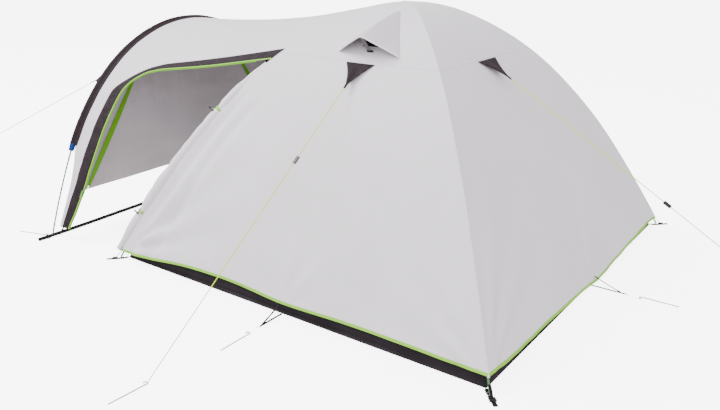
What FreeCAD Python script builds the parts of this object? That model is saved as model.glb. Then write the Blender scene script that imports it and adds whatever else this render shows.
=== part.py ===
"""Dome tent with a porch: two poles crossing over a square floor, a third pole for the porch arch.

Frame: +Z up, millimetres, origin on the ground at the centre of the square floor. The porch is on
the -Y side. The two sides of the tent are alike, except that the porch door on the +X side is
rolled back and tied, and the one on the -X side is closed.
"""
import FreeCAD, Part
import math
import os

import Sketcher

from FreeCAD import Placement, Rotation, Vector

doc = FreeCAD.newDocument("DomeTent")

# ------------------------------------------------------------------ sizes

SIZES = [
    ("floor_width", 2100, "groundsheet, side to side"),
    ("floor_length", 2100, "groundsheet, front to back"),
    ("apex_height", 1300, "top of the flysheet"),
    ("foot_margin", 40, "pole foot beyond the floor corner, on the diagonal"),
    ("foot_height", 12, "lower end of each pole above the ground"),
    ("pole_diameter", 8.5, "fibreglass pole"),
    ("pole_bore", 4.2, "hole through each pole section"),
    ("ferrule_diameter", 10.6, "steel tube that joins two sections"),
    ("ferrule_length", 90, "steel tube that joins two sections"),
    ("pole_sections", 7, "sections in each pole"),
    ("dome_bend", 0.68, "spread of the bend along a dome pole: 1 is a cosine, less is tighter at the top"),
    ("shock_cord_diameter", 2.6, "elastic cord inside the poles"),
    ("pin_diameter", 3.6, "steel pin in the end of each pole"),
    ("pin_length", 48, "steel pin in the end of each pole"),
    ("ring_radius", 10, "ring that carries the pin"),
    ("ring_wire", 3.2, "wire of the ring"),
    ("arch_offset", 1647, "porch arch in front of the floor centre"),
    ("arch_half_span", 1110, "porch pole foot from the middle"),
    ("arch_height", 1128, "top of the porch sleeve"),
    ("sleeve_diameter", 24, "cloth sleeve round the porch pole"),
    ("sleeve_wall", 2, "doubled cloth of the sleeve"),
    ("sleeve_low", 495, "lower end of the sleeve above the ground"),
    ("sleeve_end_length", 38, "coloured end of the sleeve"),
    ("fly_wall", 1.0, "flysheet with its coating"),
    ("fly_gap", 4, "flysheet clear of the pole and its ferrules"),
    ("fly_hem", 48, "lower edge of the flysheet above the ground"),
    ("hem_width", 12, "binding tape on the lower edge"),
    ("seam_gap", 1.2, "between cloth pieces that are sewn edge to edge"),
    ("inner_gap", 26, "inner tent hangs this far inside the pole"),
    ("inner_wall", 0.7, "inner tent cloth"),
    ("tub_height", 120, "side of the groundsheet tub"),
    ("tub_wall", 1.2, "coated groundsheet"),
    ("webbing_width", 20, "corner straps and porch strap"),
    ("webbing_wall", 1.6, "webbing thickness"),
    ("strap_reach", 75, "corner strap beyond the pole foot"),
    ("roof_drop", 0.405, "porch roof reaches this share of the way down the poles"),
    ("facing_width", 0.27, "share of the porch depth that the fixed facing takes"),
    ("front_hem", 212, "lower edge of the porch front above the ground"),
    ("door_top", 860, "top of the front door above the ground"),
    ("door_low_half", 850, "half width of the front door at its lower edge"),
    ("door_top_half", 400, "half width of the front door at its top"),
    ("zip_width", 6, "teeth of a zip"),
    ("zip_wall", 2, "zip thickness"),
    ("vent_centre", 60, "vent behind the middle of the side"),
    ("vent_width", 345, "mouth of the vent hood"),
    ("vent_rise", 112, "peak of the vent mouth above the flysheet"),
    ("roll_radius", 26, "rolled door"),
    ("guy_diameter", 4, "guy line"),
    ("peg_wire", 5, "round steel peg"),
    ("peg_length", 170, "round steel peg"),
    ("vent_high", 160, "top of the vent hood from the middle of the tent"),
    ("vent_low", 425, "mouth of the vent hood from the middle of the tent"),
    ("vent_opening_width", 120, "opening in the flysheet under the vent hood"),
    ("vent_mesh_margin", 12, "mesh beyond the edge of the vent opening"),
    ("seam_reach", 465, "level seam and guy patches, from the middle of the tent"),
    ("patch_length", 128, "stitched triangle of a guy line"),
    ("slider_length", 38, "plastic bar that tightens a guy line"),
    ("slider_width", 15, "plastic bar that tightens a guy line"),
    ("slider_thickness", 8, "plastic bar that tightens a guy line"),
    ("buckle_reach", 34, "middle of a corner buckle beyond the pole foot"),
    ("inner_door_half", 440, "half width of the inner door"),
    ("inner_door_low", 175, "lower edge of the inner door above the ground"),
    ("inner_door_high", 960, "top of the inner door above the ground"),
    ("inner_door_corner", 150, "corner radius of the inner door"),
]

# ends of the pieces that follow the poles, as shares of a pole's half length from its top
FOOT_SHARE = 0.965
ROLL_HIGH, ROLL_LOW = 0.43, 0.955
TIES = {"upper": 0.53, "lower": 0.86}
CLIP_SHARES = (0.28, 0.57, 0.86)
# vent opening below the top of the hood and above its mouth
VENT_TOP_MARGIN, VENT_LOW_MARGIN = 110, 40
# bar that holds a vent hood up, and how far its top stays below the hood's peak
VENT_STRUT_WIDTH, VENT_STRUT_THICKNESS, VENT_STRUT_GAP = 12, 3, 6.5
# ends of the guy patches along the seam, across the near and the rear side
NEAR_PATCH, REAR_PATCH = (-38, 123), (111, -65)
# places across the porch skin, as shares of its depth from the arch to the dome
DOOR_EDGE = 0.975
FLAP_WIDTH = 0.10

sheet = doc.addObject("Spreadsheet::Sheet", "Sizes")
for row, (alias, value, note) in enumerate(SIZES, start=1):
    sheet.set(f"A{row}", alias)
    sheet.set(f"B{row}", str(value))
    sheet.set(f"C{row}", note)
    sheet.setAlias(f"B{row}", alias)
doc.recompute()


def size(alias):
    return float(sheet.get(alias))


nodes = []


def node(name, shape):
    """A piece whose shape is worked out here from the sheet's sizes."""
    piece = doc.addObject("Part::Feature", name)
    piece.Label = name
    piece.Shape = shape
    nodes.append(piece)
    return piece


def keep(piece, name):
    """A piece that the document itself builds from bound sizes."""
    piece.Label = name
    nodes.append(piece)
    return piece


def bind(piece, **sizes):
    for attribute, expression in sizes.items():
        piece.setExpression(attribute, expression)


# ------------------------------------------------------------------ bent poles

UP = Vector(0, 0, 1)


class BentPole:
    """A straight pole bent into an arch: its curvature falls from the top to the feet.

    With a spread of 1 it falls as a cosine; with less, more of the bend is near the top.

    It is a chain of tangent arcs, one for each section. A place on it is a share s of its length,
    from -1 at one foot through 0 at the top to 1 at the other foot.
    """

    def __init__(self, half_span, foot, top, sections, spread=1.0):
        self.sections = int(sections)
        self.spread = spread
        low, high = 0.2, 1.55
        for _ in range(60):
            self.end_angle = (low + high) / 2
            self.half_length = 1.0
            self.starts = [Vector(0, 0, 0)]
            self._chain()
            reach = self.starts[-1]
            if self._rise() / (reach.x / 2) < (top - foot) / half_span:
                low = self.end_angle
            else:
                high = self.end_angle
        self.half_length = half_span / (self.starts[-1].x / 2)
        self._chain()
        shift = Vector(-half_span, 0, foot)
        self.starts = [p + shift for p in self.starts]

    def angle(self, s):
        """Slope of the pole at s, linear within each section."""
        place = (s + 1) / 2 * self.sections
        section = min(max(int(place), 0), self.sections - 1)
        first, last = self._ends(section)
        return first + (last - first) * (place - section)

    def _ends(self, section):
        shares = [-1 + 2 * (section + k) / self.sections for k in (0, 1)]
        return [-self.end_angle * math.copysign(abs(math.sin(math.pi * s / 2)) ** self.spread, s)
                for s in shares]

    def _chain(self):
        self.starts = [Vector(0, 0, 0)]
        step = 2 * self.half_length / self.sections
        for section in range(self.sections):
            first, last = self._ends(section)
            radius = step / (first - last)
            move = Vector(math.sin(first) - math.sin(last), 0, math.cos(last) - math.cos(first))
            self.starts.append(self.starts[-1] + move * radius)

    def _rise(self):
        return self.flat_point(0).z

    def flat_point(self, s):
        """Centre line at s in the pole's own plane: x along the span, z up."""
        section = min(max(int((s + 1) / 2 * self.sections), 0), self.sections - 1)
        first, last = self._ends(section)
        radius = 2 * self.half_length / self.sections / (first - last)
        here = self.angle(s)
        move = Vector(math.sin(first) - math.sin(here), 0, math.cos(here) - math.cos(first))
        return self.starts[section] + move * radius

    def share_at_height(self, height):
        """The share s, from 0 to 1, at which the centre line is at this height."""
        low, high = 0.0, 1.0
        for _ in range(50):
            middle = (low + high) / 2
            if self.flat_point(middle).z > height:
                low = middle
            else:
                high = middle
        return low

    def arcs(self, s_from, s_to):
        """The stretches of single arcs between two shares of the length."""
        cuts = [-1 + 2 * k / self.sections for k in range(1, self.sections)]
        marks = [s_from] + [c for c in cuts if s_from + 1e-6 < c < s_to - 1e-6] + [s_to]
        return list(zip(marks[:-1], marks[1:]))


class Stand:
    """The upright plane that a pole stands in: a heading across the ground and an origin."""

    def __init__(self, heading, origin=Vector(0, 0, 0)):
        self.heading = Vector(heading).normalize()
        self.origin = origin

    def at(self, flat):
        return self.origin + self.heading * flat.x + UP * flat.z

    def direction(self, angle):
        return self.heading * math.cos(angle) + UP * math.sin(angle)


def ring_face(centre, normal, outer, inner):
    """A disc of radius outer, with a hole of radius inner if that isn't 0."""
    rim = Part.Wire(Part.makeCircle(outer, centre, normal))
    face = Part.Face(rim)
    if inner:
        face = face.cut(Part.Face(Part.Wire(Part.makeCircle(inner, centre, normal)))).Faces[0]
    return face


def tube_along(pole, stand, s_from, s_to, outer, inner=0.0):
    """A tube that follows the pole's arcs from one share of its length to another."""
    tube = None
    for first, last in pole.arcs(s_from, s_to):
        start, slope = pole.flat_point(first), pole.angle(first)
        turn = slope - pole.angle(last)
        radius = (last - first) * pole.half_length / turn
        centre = start + Vector(math.sin(slope), 0, -math.cos(slope)) * radius
        face = ring_face(stand.at(start), stand.direction(slope), outer, inner)
        axis = stand.heading.cross(UP) * -1
        piece = face.revolve(stand.at(centre), axis, math.degrees(turn))
        tube = piece if tube is None else tube.fuse(piece)
    return tube if len(tube.Solids) > 1 else tube.Solids[0]


# ------------------------------------------------------------------ driving shapes

half_width = size("floor_width") / 2
half_length = size("floor_length") / 2
half_diagonal = math.hypot(half_width, half_length)
share_x = half_width / half_diagonal
share_y = half_length / half_diagonal
pole_radius = size("pole_diameter") / 2
ferrule_radius = size("ferrule_diameter") / 2
fly_inner = ferrule_radius + size("fly_gap")
fly_outer = fly_inner + size("fly_wall")
pole_foot = half_diagonal + size("foot_margin")
upper_top = size("apex_height") - fly_outer
pole_crossing = size("pole_diameter") + 0.5

upper_pole, lower_pole = [
    BentPole(pole_foot, size("foot_height"), top, size("pole_sections"), size("dome_bend"))
    for top in (upper_top, upper_top - pole_crossing)]
upper_stand = Stand((share_x, share_y, 0))
lower_stand = Stand((share_x, -share_y, 0))
sleeve_radius = size("sleeve_diameter") / 2
arch_pole = BentPole(size("arch_half_span"), size("foot_height"),
                     size("arch_height") - sleeve_radius, size("pole_sections"))
arch_stand = Stand((1, 0, 0), Vector(0, -size("arch_offset"), 0))


def spline(points):
    curve = Part.BSplineCurve()
    curve.interpolate(points)
    return curve.toShape()


def shares(first, last, count):
    return [first + (last - first) * k / (count - 1) for k in range(count)]


def face_point(s, offset, share):
    """A point of a dome side in its own upright plane: x outwards, z up.

    The side spans the two poles, so its profile is the pole's arch drawn in by the share of the
    diagonal that this side takes, moved outwards by offset.
    """
    step = 1e-4
    before, after = upper_pole.flat_point(s - step), upper_pole.flat_point(s + step)
    along = Vector((after.x - before.x) * share, 0, after.z - before.z).normalize()
    here = upper_pole.flat_point(s)
    return Vector(here.x * share - along.z * offset, 0, here.z + along.x * offset)


def closed_skin(outer_a, outer_b, inner_a, inner_b):
    """A thin closed solid between two pairs of lines in space."""
    rails = [spline(points) for points in (outer_a, outer_b, inner_b, inner_a)]
    faces = [Part.makeRuledSurface(rails[k], rails[(k + 1) % 4]) for k in range(4)]
    for end in (0, -1):
        top = Part.makeLine(outer_a[end], outer_b[end])
        bottom = Part.makeLine(inner_a[end], inner_b[end])
        faces.append(Part.makeRuledSurface(top, bottom))
    shell = Part.makeShell(faces)
    shell.sewShape()
    solid = Part.makeSolid(shell)
    if solid.Volume < 0:
        solid.reverse()
    return solid


def cloth(surface, stations, edge_a, edge_b, wall, lift=0.0):
    """A piece of cloth on surface(t, v), between the lines v = edge_a(t) and v = edge_b(t)."""
    step = 1e-3
    lines = {"outer_a": [], "outer_b": [], "inner_a": [], "inner_b": []}
    for t in stations:
        for side, edge in (("a", edge_a), ("b", edge_b)):
            v = edge(t)
            along = surface(t + step, v) - surface(t - step, v)
            across = surface(t, v + step) - surface(t, v - step)
            normal = along.cross(across).normalize()
            lines["inner_" + side].append(surface(t, v) + normal * lift)
            lines["outer_" + side].append(surface(t, v) + normal * (lift + wall))
    return closed_skin(**lines)


def dome_side(inner, outer, s_top, s_low, across, along, turn):
    """One side of a dome between two poles, mitred on the ridges; turn is its heading in degrees."""
    outer_line = [face_point(s, outer, across) for s in shares(s_top, s_low, 9)]
    inner_line = [face_point(s, inner, across) for s in shares(s_top, s_low, 9)]
    wire = Part.Wire([
        spline(outer_line),
        Part.makeLine(outer_line[-1], inner_line[-1]),
        spline(inner_line[::-1]),
        Part.makeLine(inner_line[0], outer_line[0]),
    ])
    reach = 1.2 * half_diagonal
    slab = Part.Face(wire)
    slab.translate(Vector(0, -reach, 0))
    slab = slab.extrude(Vector(0, 2 * reach, 0))
    corner = Vector(2 * reach * across, 2 * reach * along, -reach)
    wedge = Part.Face(Part.makePolygon([
        Vector(0, 0, -reach), corner, Vector(corner.x, -corner.y, -reach), Vector(0, 0, -reach)]))
    side = slab.common(wedge.extrude(Vector(0, 0, 4 * reach)))
    side.rotate(Vector(0, 0, 0), UP, turn)
    return side.Solids[0]


SIDES = {"near": (share_x, share_y, 0), "rear": (share_y, share_x, 90),
         "far": (share_x, share_y, 180), "front": (share_y, share_x, -90)}


def mirrored(shape):
    """The same piece on the other side of the tent."""
    return shape.mirror(Vector(0, 0, 0), Vector(1, 0, 0))


def compound(pieces):
    return Part.makeCompound([solid for piece in pieces for solid in piece.Solids])


# ------------------------------------------------------------------ poles

POLES = {"upper_dome_pole": (upper_pole, upper_stand), "lower_dome_pole": (lower_pole, lower_stand),
         "porch_pole": (arch_pole, arch_stand)}
bore_radius = size("pole_bore") / 2

ferrules, shock_cords = [], []

for name, (pole, stand) in POLES.items():
    joints = [-1 + 2 * k / pole.sections for k in range(pole.sections + 1)]
    node(name, Part.makeCompound([
        tube_along(pole, stand, a, b, pole_radius, bore_radius) for a, b in zip(joints[:-1], joints[1:])]))
    half = size("ferrule_length") / 2 / pole.half_length
    ferrules += [
        tube_along(pole, stand, j - half, j + half, ferrule_radius, pole_radius) for j in joints[1:-1]]
    free = 1 - (size("pin_length") + 6) / pole.half_length
    shock_cords.append(tube_along(pole, stand, -free, free, size("shock_cord_diameter") / 2))
node("pole_ferrules", compound(ferrules))
node("shock_cords", compound(shock_cords))


def ring_and_pin(pole, stand, end):
    """Steel ring lying on its strap, with the pin that stands up into the end of the pole."""
    wire = size("ring_wire") / 2
    foot = stand.at(pole.flat_point(end))
    rise = stand.direction(pole.angle(end)) * -end
    base_height = size("webbing_wall") + wire
    base = foot - rise * ((foot.z - base_height) / rise.z)
    pin = Part.makeCylinder(size("pin_diameter") / 2, size("pin_length"), base, rise)
    outwards = stand.heading * end
    ring = Part.makeTorus(size("ring_radius"), wire, base - outwards * size("ring_radius"), UP)
    return pin.fuse(ring)


node("ring_pins", compound([
    ring_and_pin(pole, stand, end) for pole, stand in POLES.values() for end in (-1, 1)]))

# ------------------------------------------------------------------ groundsheet and straps

tub_lean = half_width - face_point(upper_pole.share_at_height(size("tub_height")),
                                   -size("inner_gap"), share_x).x
sheet.set(f"A{len(SIZES) + 1}", "tub_lean")
sheet.set(f"B{len(SIZES) + 1}", str(tub_lean))
sheet.setAlias(f"B{len(SIZES) + 1}", "tub_lean")
doc.recompute()


def tub_block(name, inset, base):
    """A block that narrows upwards, inset from the floor's edge."""
    block = doc.addObject("Part::Wedge", name)
    for axis, span in (("X", "floor_width"), ("Z", "floor_length")):
        bind(block, **{
            f"{axis}min": f"-Sizes.{span} / 2 + {inset}", f"{axis}max": f"Sizes.{span} / 2 - {inset}",
            f"{axis}2min": f"-Sizes.{span} / 2 + Sizes.tub_lean + {inset}",
            f"{axis}2max": f"Sizes.{span} / 2 - Sizes.tub_lean - {inset}"})
    bind(block, Ymin=base, Ymax="Sizes.tub_height")
    block.Placement = Placement(Vector(0, 0, 0), Rotation(Vector(1, 0, 0), 90))
    return block


tub = doc.addObject("Part::Cut", "groundsheet_tub")
tub.Base = tub_block("tub_outside", "0", "0")
tub.Tool = tub_block("tub_inside", "Sizes.tub_wall", "Sizes.tub_wall")
keep(tub, "groundsheet_tub")

CORNERS = [(upper_stand, 1), (upper_stand, -1), (lower_stand, 1), (lower_stand, -1)]


def lying_box(start, heading, length, width, low, high):
    """A flat box on the ground that runs from start along heading."""
    box = Part.makeBox(length, width, high - low, Vector(0, -width / 2, low))
    box.Placement = Placement(start, Rotation(Vector(1, 0, 0), heading))
    return box


width, wall = size("webbing_width"), size("webbing_wall")
strap_start = half_diagonal + width / 2 + size("seam_gap")
strap_end = pole_foot + size("strap_reach")
node("corner_straps", compound([
    lying_box(stand.heading * (end * strap_start), stand.heading * end, strap_end - strap_start,
              width, 0, wall) for stand, end in CORNERS]))


def ladder_lock(place, heading):
    """Plastic buckle with two slots; it lies on the strap."""
    long, broad, thick = 26, width + 8, 4
    body = Part.makeBox(long, broad, thick, Vector(-long / 2, -broad / 2, 0))
    for slot in (-6, 6):
        body = body.cut(Part.makeBox(5, width, thick, Vector(slot - 2.5, -width / 2, 0)))
    body = body.makeFillet(1.2, [edge for edge in body.Edges if edge.Length == thick][:4])
    body.Placement = Placement(place, Rotation(Vector(1, 0, 0), heading))
    return body


buckle_place = pole_foot + size("buckle_reach")
buckle_lift = UP * (wall + 0.2)
node("strap_buckles", compound([
    ladder_lock(stand.heading * (end * buckle_place) + buckle_lift, stand.heading * end)
    for stand, end in CORNERS] + [
    ladder_lock(arch_stand.origin + Vector(end * (size("arch_half_span") + 32), 0, 0) + buckle_lift,
                Vector(end, 0, 0)) for end in (-1, 1)]))


def slanted_strap(low, high, broad, thick):
    """A straight strap between two points, its width level."""
    run = high - low
    level = UP.cross(run).normalize()
    strap = Part.makeBox(run.Length, broad, thick, Vector(0, -broad / 2, -thick / 2))
    axes = Rotation(run, level, run.cross(level), "XYZ")
    strap.Placement = Placement(low, axes)
    return strap


hem_share = upper_pole.share_at_height(size("fly_hem"))
hem_corner = face_point(hem_share, fly_outer + 3, share_x).x / share_x
node("fly_corner_straps", compound([
    slanted_strap(stand.heading * (end * (buckle_place - 10)) + UP * (wall + 6),
                  stand.heading * (end * hem_corner) + UP * (size("fly_hem") - 14), 12, 1.2)
    for stand, end in CORNERS]))

porch_strap = doc.addObject("Part::Box", "porch_ground_strap")
bind(porch_strap, Length="2 * Sizes.arch_half_span + 2 * 90", Width="Sizes.webbing_width",
     Height="Sizes.webbing_wall")
bind(porch_strap, **{"Placement.Base.x": "-Sizes.arch_half_span - 90",
                     "Placement.Base.y": "-Sizes.arch_offset - Sizes.webbing_width / 2"})
keep(porch_strap, "porch_ground_strap")

# ------------------------------------------------------------------ flysheet

fly_sides = {side: dome_side(fly_inner, fly_outer, 0, hem_share, *SIDES[side])
             for side in ("near", "rear", "far")}
vent_high, vent_low = size("vent_high"), size("vent_low")


def share_at_reach(reach):
    """The share s at which a side of the flysheet is this far from the middle of the tent."""
    low, high = 0.0, 1.0
    for _ in range(50):
        middle = (low + high) / 2
        if face_point(middle, fly_outer, share_x).x < reach:
            low = middle
        else:
            high = middle
    return low


vent_from = size("vent_high") + VENT_TOP_MARGIN
vent_to = size("vent_low") - VENT_LOW_MARGIN


def vent_block(margin):
    """An upright block over the vent opening, wider by a margin all round."""
    width = size("vent_opening_width") + 2 * margin
    corner = Vector(vent_from - margin, size("vent_centre") - width / 2, size("apex_height") / 2)
    return Part.makeBox(vent_to - vent_from + 2 * margin, width, size("apex_height"), corner)


vent_cutter = vent_block(0)
fly_sides["near"] = fly_sides["near"].cut(vent_cutter).Solids[0]
fly_sides["far"] = fly_sides["far"].cut(mirrored(vent_cutter)).Solids[0]
for side, shape in fly_sides.items():
    node(f"fly_{side}_side", shape)

hem_end = upper_pole.share_at_height(size("fly_hem") - size("hem_width"))
node("hem_binding", compound([
    dome_side(fly_inner - 0.6, fly_outer + 0.6, hem_share + 1e-4, hem_end, *SIDES[side])
    for side in ("near", "rear", "far")]))

vent_mesh = dome_side(fly_inner - 1.4, fly_inner - 0.4, 0, hem_share, *SIDES["near"]).common(
    vent_block(size("vent_mesh_margin")))
node("vent_meshes", compound([vent_mesh, mirrored(vent_mesh)]))

top_share, mouth_share = share_at_reach(vent_high), share_at_reach(vent_low)


def side_place(s, offset, y):
    """A point over the +X side of the flysheet."""
    flat = face_point(s, offset, share_x)
    return Vector(flat.x, y, flat.z)


def hood_half(sign):
    """Half of the vent hood: from its seam on the flysheet up to its raised fold."""
    lines = {"outer_a": [], "outer_b": [], "inner_a": [], "inner_b": []}
    for k in shares(0.06, 1.0, 6):
        s = top_share + (mouth_share - top_share) * k
        seam_y = size("vent_centre") + sign * k * size("vent_width") / 2
        fold_y = size("vent_centre") + sign * 0.6
        rise = fly_outer + 1.0 + size("vent_rise") * k
        for layer, lift in (("inner", 0.0), ("outer", size("fly_wall"))):
            lines[layer + "_a"].append(side_place(s, fly_outer + 1.0 + lift, seam_y))
            lines[layer + "_b"].append(side_place(s, rise + lift, fold_y))
    return closed_skin(**lines)


hood = compound([hood_half(-1), hood_half(1)])
node("near_vent_hood", hood)
node("far_vent_hood", compound([mirrored(solid) for solid in hood.Solids]))
strut_share = share_at_reach(vent_low - 12)
strut_foot = side_place(strut_share, fly_outer + 2.2, size("vent_centre"))
# the top of the strut stays under the slope of the hood on both sides of its peak
strut_gap = VENT_STRUT_GAP + VENT_STRUT_WIDTH * size("vent_rise") / size("vent_width")
strut_top = side_place(strut_share, fly_outer + size("vent_rise") - strut_gap, size("vent_centre"))
strut = slanted_strap(strut_foot, strut_top, VENT_STRUT_WIDTH, VENT_STRUT_THICKNESS)
node("near_vent_strut", strut)
node("far_vent_strut", mirrored(strut))

# ------------------------------------------------------------------ porch

arch_line = -size("arch_offset") + sleeve_radius + size("seam_gap")


def porch_side(t, v):
    """The +X half of the porch skin: t runs down the poles from the top, v from arch to dome."""
    arch = arch_pole.flat_point(t)
    near, front = face_point(t, fly_inner, share_x), face_point(t, fly_inner, share_y)
    arch_place = Vector(arch.x, arch_line, arch.z)
    dome_place = Vector(near.x, -front.x - size("seam_gap"), near.z)
    return arch_place * (1 - v) + dome_place * v


def always(v):
    return lambda t: v


roof_drop = size("roof_drop")
roof_half = cloth(porch_side, shares(0, roof_drop, 9), always(0), always(1), size("fly_wall"))
node("porch_roof", compound([roof_half, mirrored(roof_half)]))

facing = size("facing_width")


def facing_edge(t):
    """The fixed facing beside the arch narrows towards the ground."""
    return facing * (1 - 0.2 * ((t - roof_drop) / (FOOT_SHARE - roof_drop)) ** 2)


facing_stations = shares(roof_drop + 0.003, FOOT_SHARE, 9)
facing_half = cloth(porch_side, facing_stations, always(0), facing_edge, size("fly_wall"))
node("porch_facings", compound([facing_half, mirrored(facing_half)]))

flap_lift = size("fly_wall") + 0.4
flap_half = cloth(porch_side, facing_stations, lambda t: facing_edge(t) - FLAP_WIDTH,
                  lambda t: facing_edge(t) - 0.004, 1.4, flap_lift)


def across_v(t, v):
    """The porch skin with its two directions exchanged."""
    return porch_side(v, t)


def sheet_across(stations, edge_a, edge_b, wall, lift):
    """Cloth that runs from the arch towards the dome."""
    return cloth(across_v, stations, edge_b, edge_a, wall, lift)


flap_top = sheet_across(shares(facing_edge(roof_drop) - FLAP_WIDTH, 0.985, 7), always(roof_drop - 0.045),
                        always(roof_drop - 0.002), 1.4, flap_lift)
node("porch_storm_flaps", compound([
    shape for half in (flap_half, flap_top) for shape in (half, mirrored(half))]))

zip_stations = shares(roof_drop + 0.05, FOOT_SHARE - 0.002, 9)
zip_lift = size("fly_wall") + 3
zip_middle = 0.011
door_zip = cloth(porch_side, zip_stations, lambda t: facing_edge(t) + zip_middle - 0.0035,
                 lambda t: facing_edge(t) + zip_middle + 0.0035, size("zip_wall"), zip_lift)
node("side_door_zips", compound([door_zip, mirrored(door_zip)]))

far_door = cloth(porch_side, shares(roof_drop + 0.006, FOOT_SHARE, 9),
                 lambda t: facing_edge(t) + 0.034, always(DOOR_EDGE), size("fly_wall"))
node("far_door", mirrored(far_door))

roll = tube_along(lower_pole, lower_stand, ROLL_HIGH, ROLL_LOW, size("roll_radius"))
roll_shift = Vector(-6, -size("roll_radius") - 20, 0)
roll.translate(roll_shift)
node("near_door_roll", roll)


def roll_place(s, offset=0.0):
    """A point on the rolled door's middle line, moved outwards by offset."""
    flat, slope = lower_pole.flat_point(s), lower_pole.angle(s)
    outwards = Vector(-math.sin(slope), 0, math.cos(slope))
    return lower_stand.at(flat + outwards * offset) + roll_shift


def tie(s):
    """Cloth loop round the rolled door."""
    along = lower_stand.direction(lower_pole.angle(s))
    loop = ring_face(roll_place(s), along, size("roll_radius") + 2.0, size("roll_radius") + 0.4)
    return loop.extrude(along * 12)


node("roll_ties", compound([tie(s) for s in TIES.values()]))
for name, s in TIES.items():
    toggle = doc.addObject("Part::Cylinder", name + "_toggle")
    toggle.Radius, toggle.Height = 4, 34
    along = lower_stand.direction(lower_pole.angle(s))
    middle = roll_place(s) + Vector(1, -0.3, 0.1).normalize() * (size("roll_radius") + 10) + along * 6
    cross = along.cross(Vector(1, 0, 0)).normalize()
    toggle.Placement = Placement(middle - cross * 17, Rotation(UP, cross))
    keep(toggle, name + "_toggle")

# ------------------------------------------------------------------ sleeve and porch front

sleeve_share = arch_pole.share_at_height(size("sleeve_low"))
end_share = size("sleeve_end_length") / arch_pole.half_length
node("porch_sleeve", tube_along(arch_pole, arch_stand, -sleeve_share, sleeve_share,
                                sleeve_radius, sleeve_radius - size("sleeve_wall")))
sleeve_end = tube_along(arch_pole, arch_stand, sleeve_share + 0.0005, sleeve_share + end_share,
                        sleeve_radius - 1.5, sleeve_radius - size("sleeve_wall") - 2)
node("sleeve_ends", compound([sleeve_end, mirrored(sleeve_end)]))

front_y = -size("arch_offset") + size("fly_wall") / 2
inset = sleeve_radius + size("seam_gap")


def arch_inside(s):
    flat, slope = arch_pole.flat_point(s), arch_pole.angle(s)
    return flat + Vector(math.sin(slope), 0, -math.cos(slope)) * inset


def upright_plate(outline, wall):
    """A flat plate in the plane of the arch; its outline is a closed wire at y = 0."""
    plate = Part.Face(outline).extrude(Vector(0, wall, 0))
    plate.translate(Vector(0, front_y - wall, 0))
    return plate


panel_share = arch_pole.share_at_height(size("front_hem"))
rim = [arch_inside(s) for s in shares(-panel_share, panel_share, 21)]
front_outline = Part.Wire([spline(rim), Part.makeLine(rim[-1], rim[0])])
door_gap = 3
hole = Part.Wire(Part.makePolygon([
    Vector(-size("door_low_half") - door_gap, 0, 0), Vector(size("door_low_half") + door_gap, 0, 0),
    Vector(size("door_low_half") + door_gap, 0, size("front_hem")),
    Vector(size("door_top_half") + door_gap, 0, size("door_top") + door_gap),
    Vector(-size("door_top_half") - door_gap, 0, size("door_top") + door_gap),
    Vector(-size("door_low_half") - door_gap, 0, size("front_hem")),
    Vector(-size("door_low_half") - door_gap, 0, 0)]))
front_wall = upright_plate(front_outline, size("fly_wall"))
hole_prism = Part.Face(hole).extrude(Vector(0, 40, 0))
hole_prism.translate(Vector(0, front_y - 20, 0))
node("porch_front_wall", front_wall.cut(hole_prism).Solids[0])

door_body = doc.addObject("PartDesign::Body", "front_door")
door_sketch = door_body.newObject("Sketcher::SketchObject", "door_outline")
front_plane = [f for f in door_body.Origin.OriginFeatures if f.Role == "XZ_Plane"][0]
door_sketch.AttachmentSupport = (front_plane, [""])
door_sketch.MapMode = "FlatFace"
DOOR_CORNERS = [("-Sizes.door_low_half", "Sizes.front_hem"), ("Sizes.door_low_half", "Sizes.front_hem"),
                ("Sizes.door_top_half", "Sizes.door_top"), ("-Sizes.door_top_half", "Sizes.door_top")]
corners = [(-size("door_low_half"), size("front_hem")), (size("door_low_half"), size("front_hem")),
           (size("door_top_half"), size("door_top")), (-size("door_top_half"), size("door_top"))]
for k, (x, z) in enumerate(corners):
    after = corners[(k + 1) % 4]
    door_sketch.addGeometry(Part.LineSegment(Vector(x, z, 0), Vector(after[0], after[1], 0)))
for k in range(4):
    door_sketch.addConstraint(Sketcher.Constraint("Coincident", k, 2, (k + 1) % 4, 1))
for line, (across, height) in enumerate(DOOR_CORNERS):
    x, z = corners[line]
    first = door_sketch.addConstraint(Sketcher.Constraint("DistanceX", -1, 1, line, 1, x))
    second = door_sketch.addConstraint(Sketcher.Constraint("DistanceY", -1, 1, line, 1, z))
    door_sketch.setExpression(f"Constraints[{first}]", across)
    door_sketch.setExpression(f"Constraints[{second}]", height)
door_pad = door_body.newObject("PartDesign::Pad", "door_cloth")
door_pad.Profile = door_sketch
bind(door_pad, Length="Sizes.fly_wall")
door_pad.Midplane = True
bind(door_body, **{"Placement.Base.y": "-Sizes.arch_offset"})
keep(door_body, "front_door")

zip_low = Vector(size("door_low_half"), 0, size("front_hem"))
zip_high = Vector(size("door_top_half"), 0, size("door_top"))
zip_run = zip_high - zip_low
zip_side = Vector(zip_run.z, 0, -zip_run.x).normalize()
zip_stop = zip_high - (zip_high - zip_low).normalize() * 20
zip_near_edge, zip_far_edge = zip_side * 4, zip_side * (4 + size("zip_width"))
front_zip = upright_plate(Part.Wire(Part.makePolygon([
    zip_low + zip_near_edge, zip_stop + zip_near_edge, zip_stop + zip_far_edge,
    zip_low + zip_far_edge, zip_low + zip_near_edge])), size("zip_wall"))
front_zip.translate(Vector(0, -zip_lift, 0))
node("front_door_zips", compound([front_zip, mirrored(front_zip)]))


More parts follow.
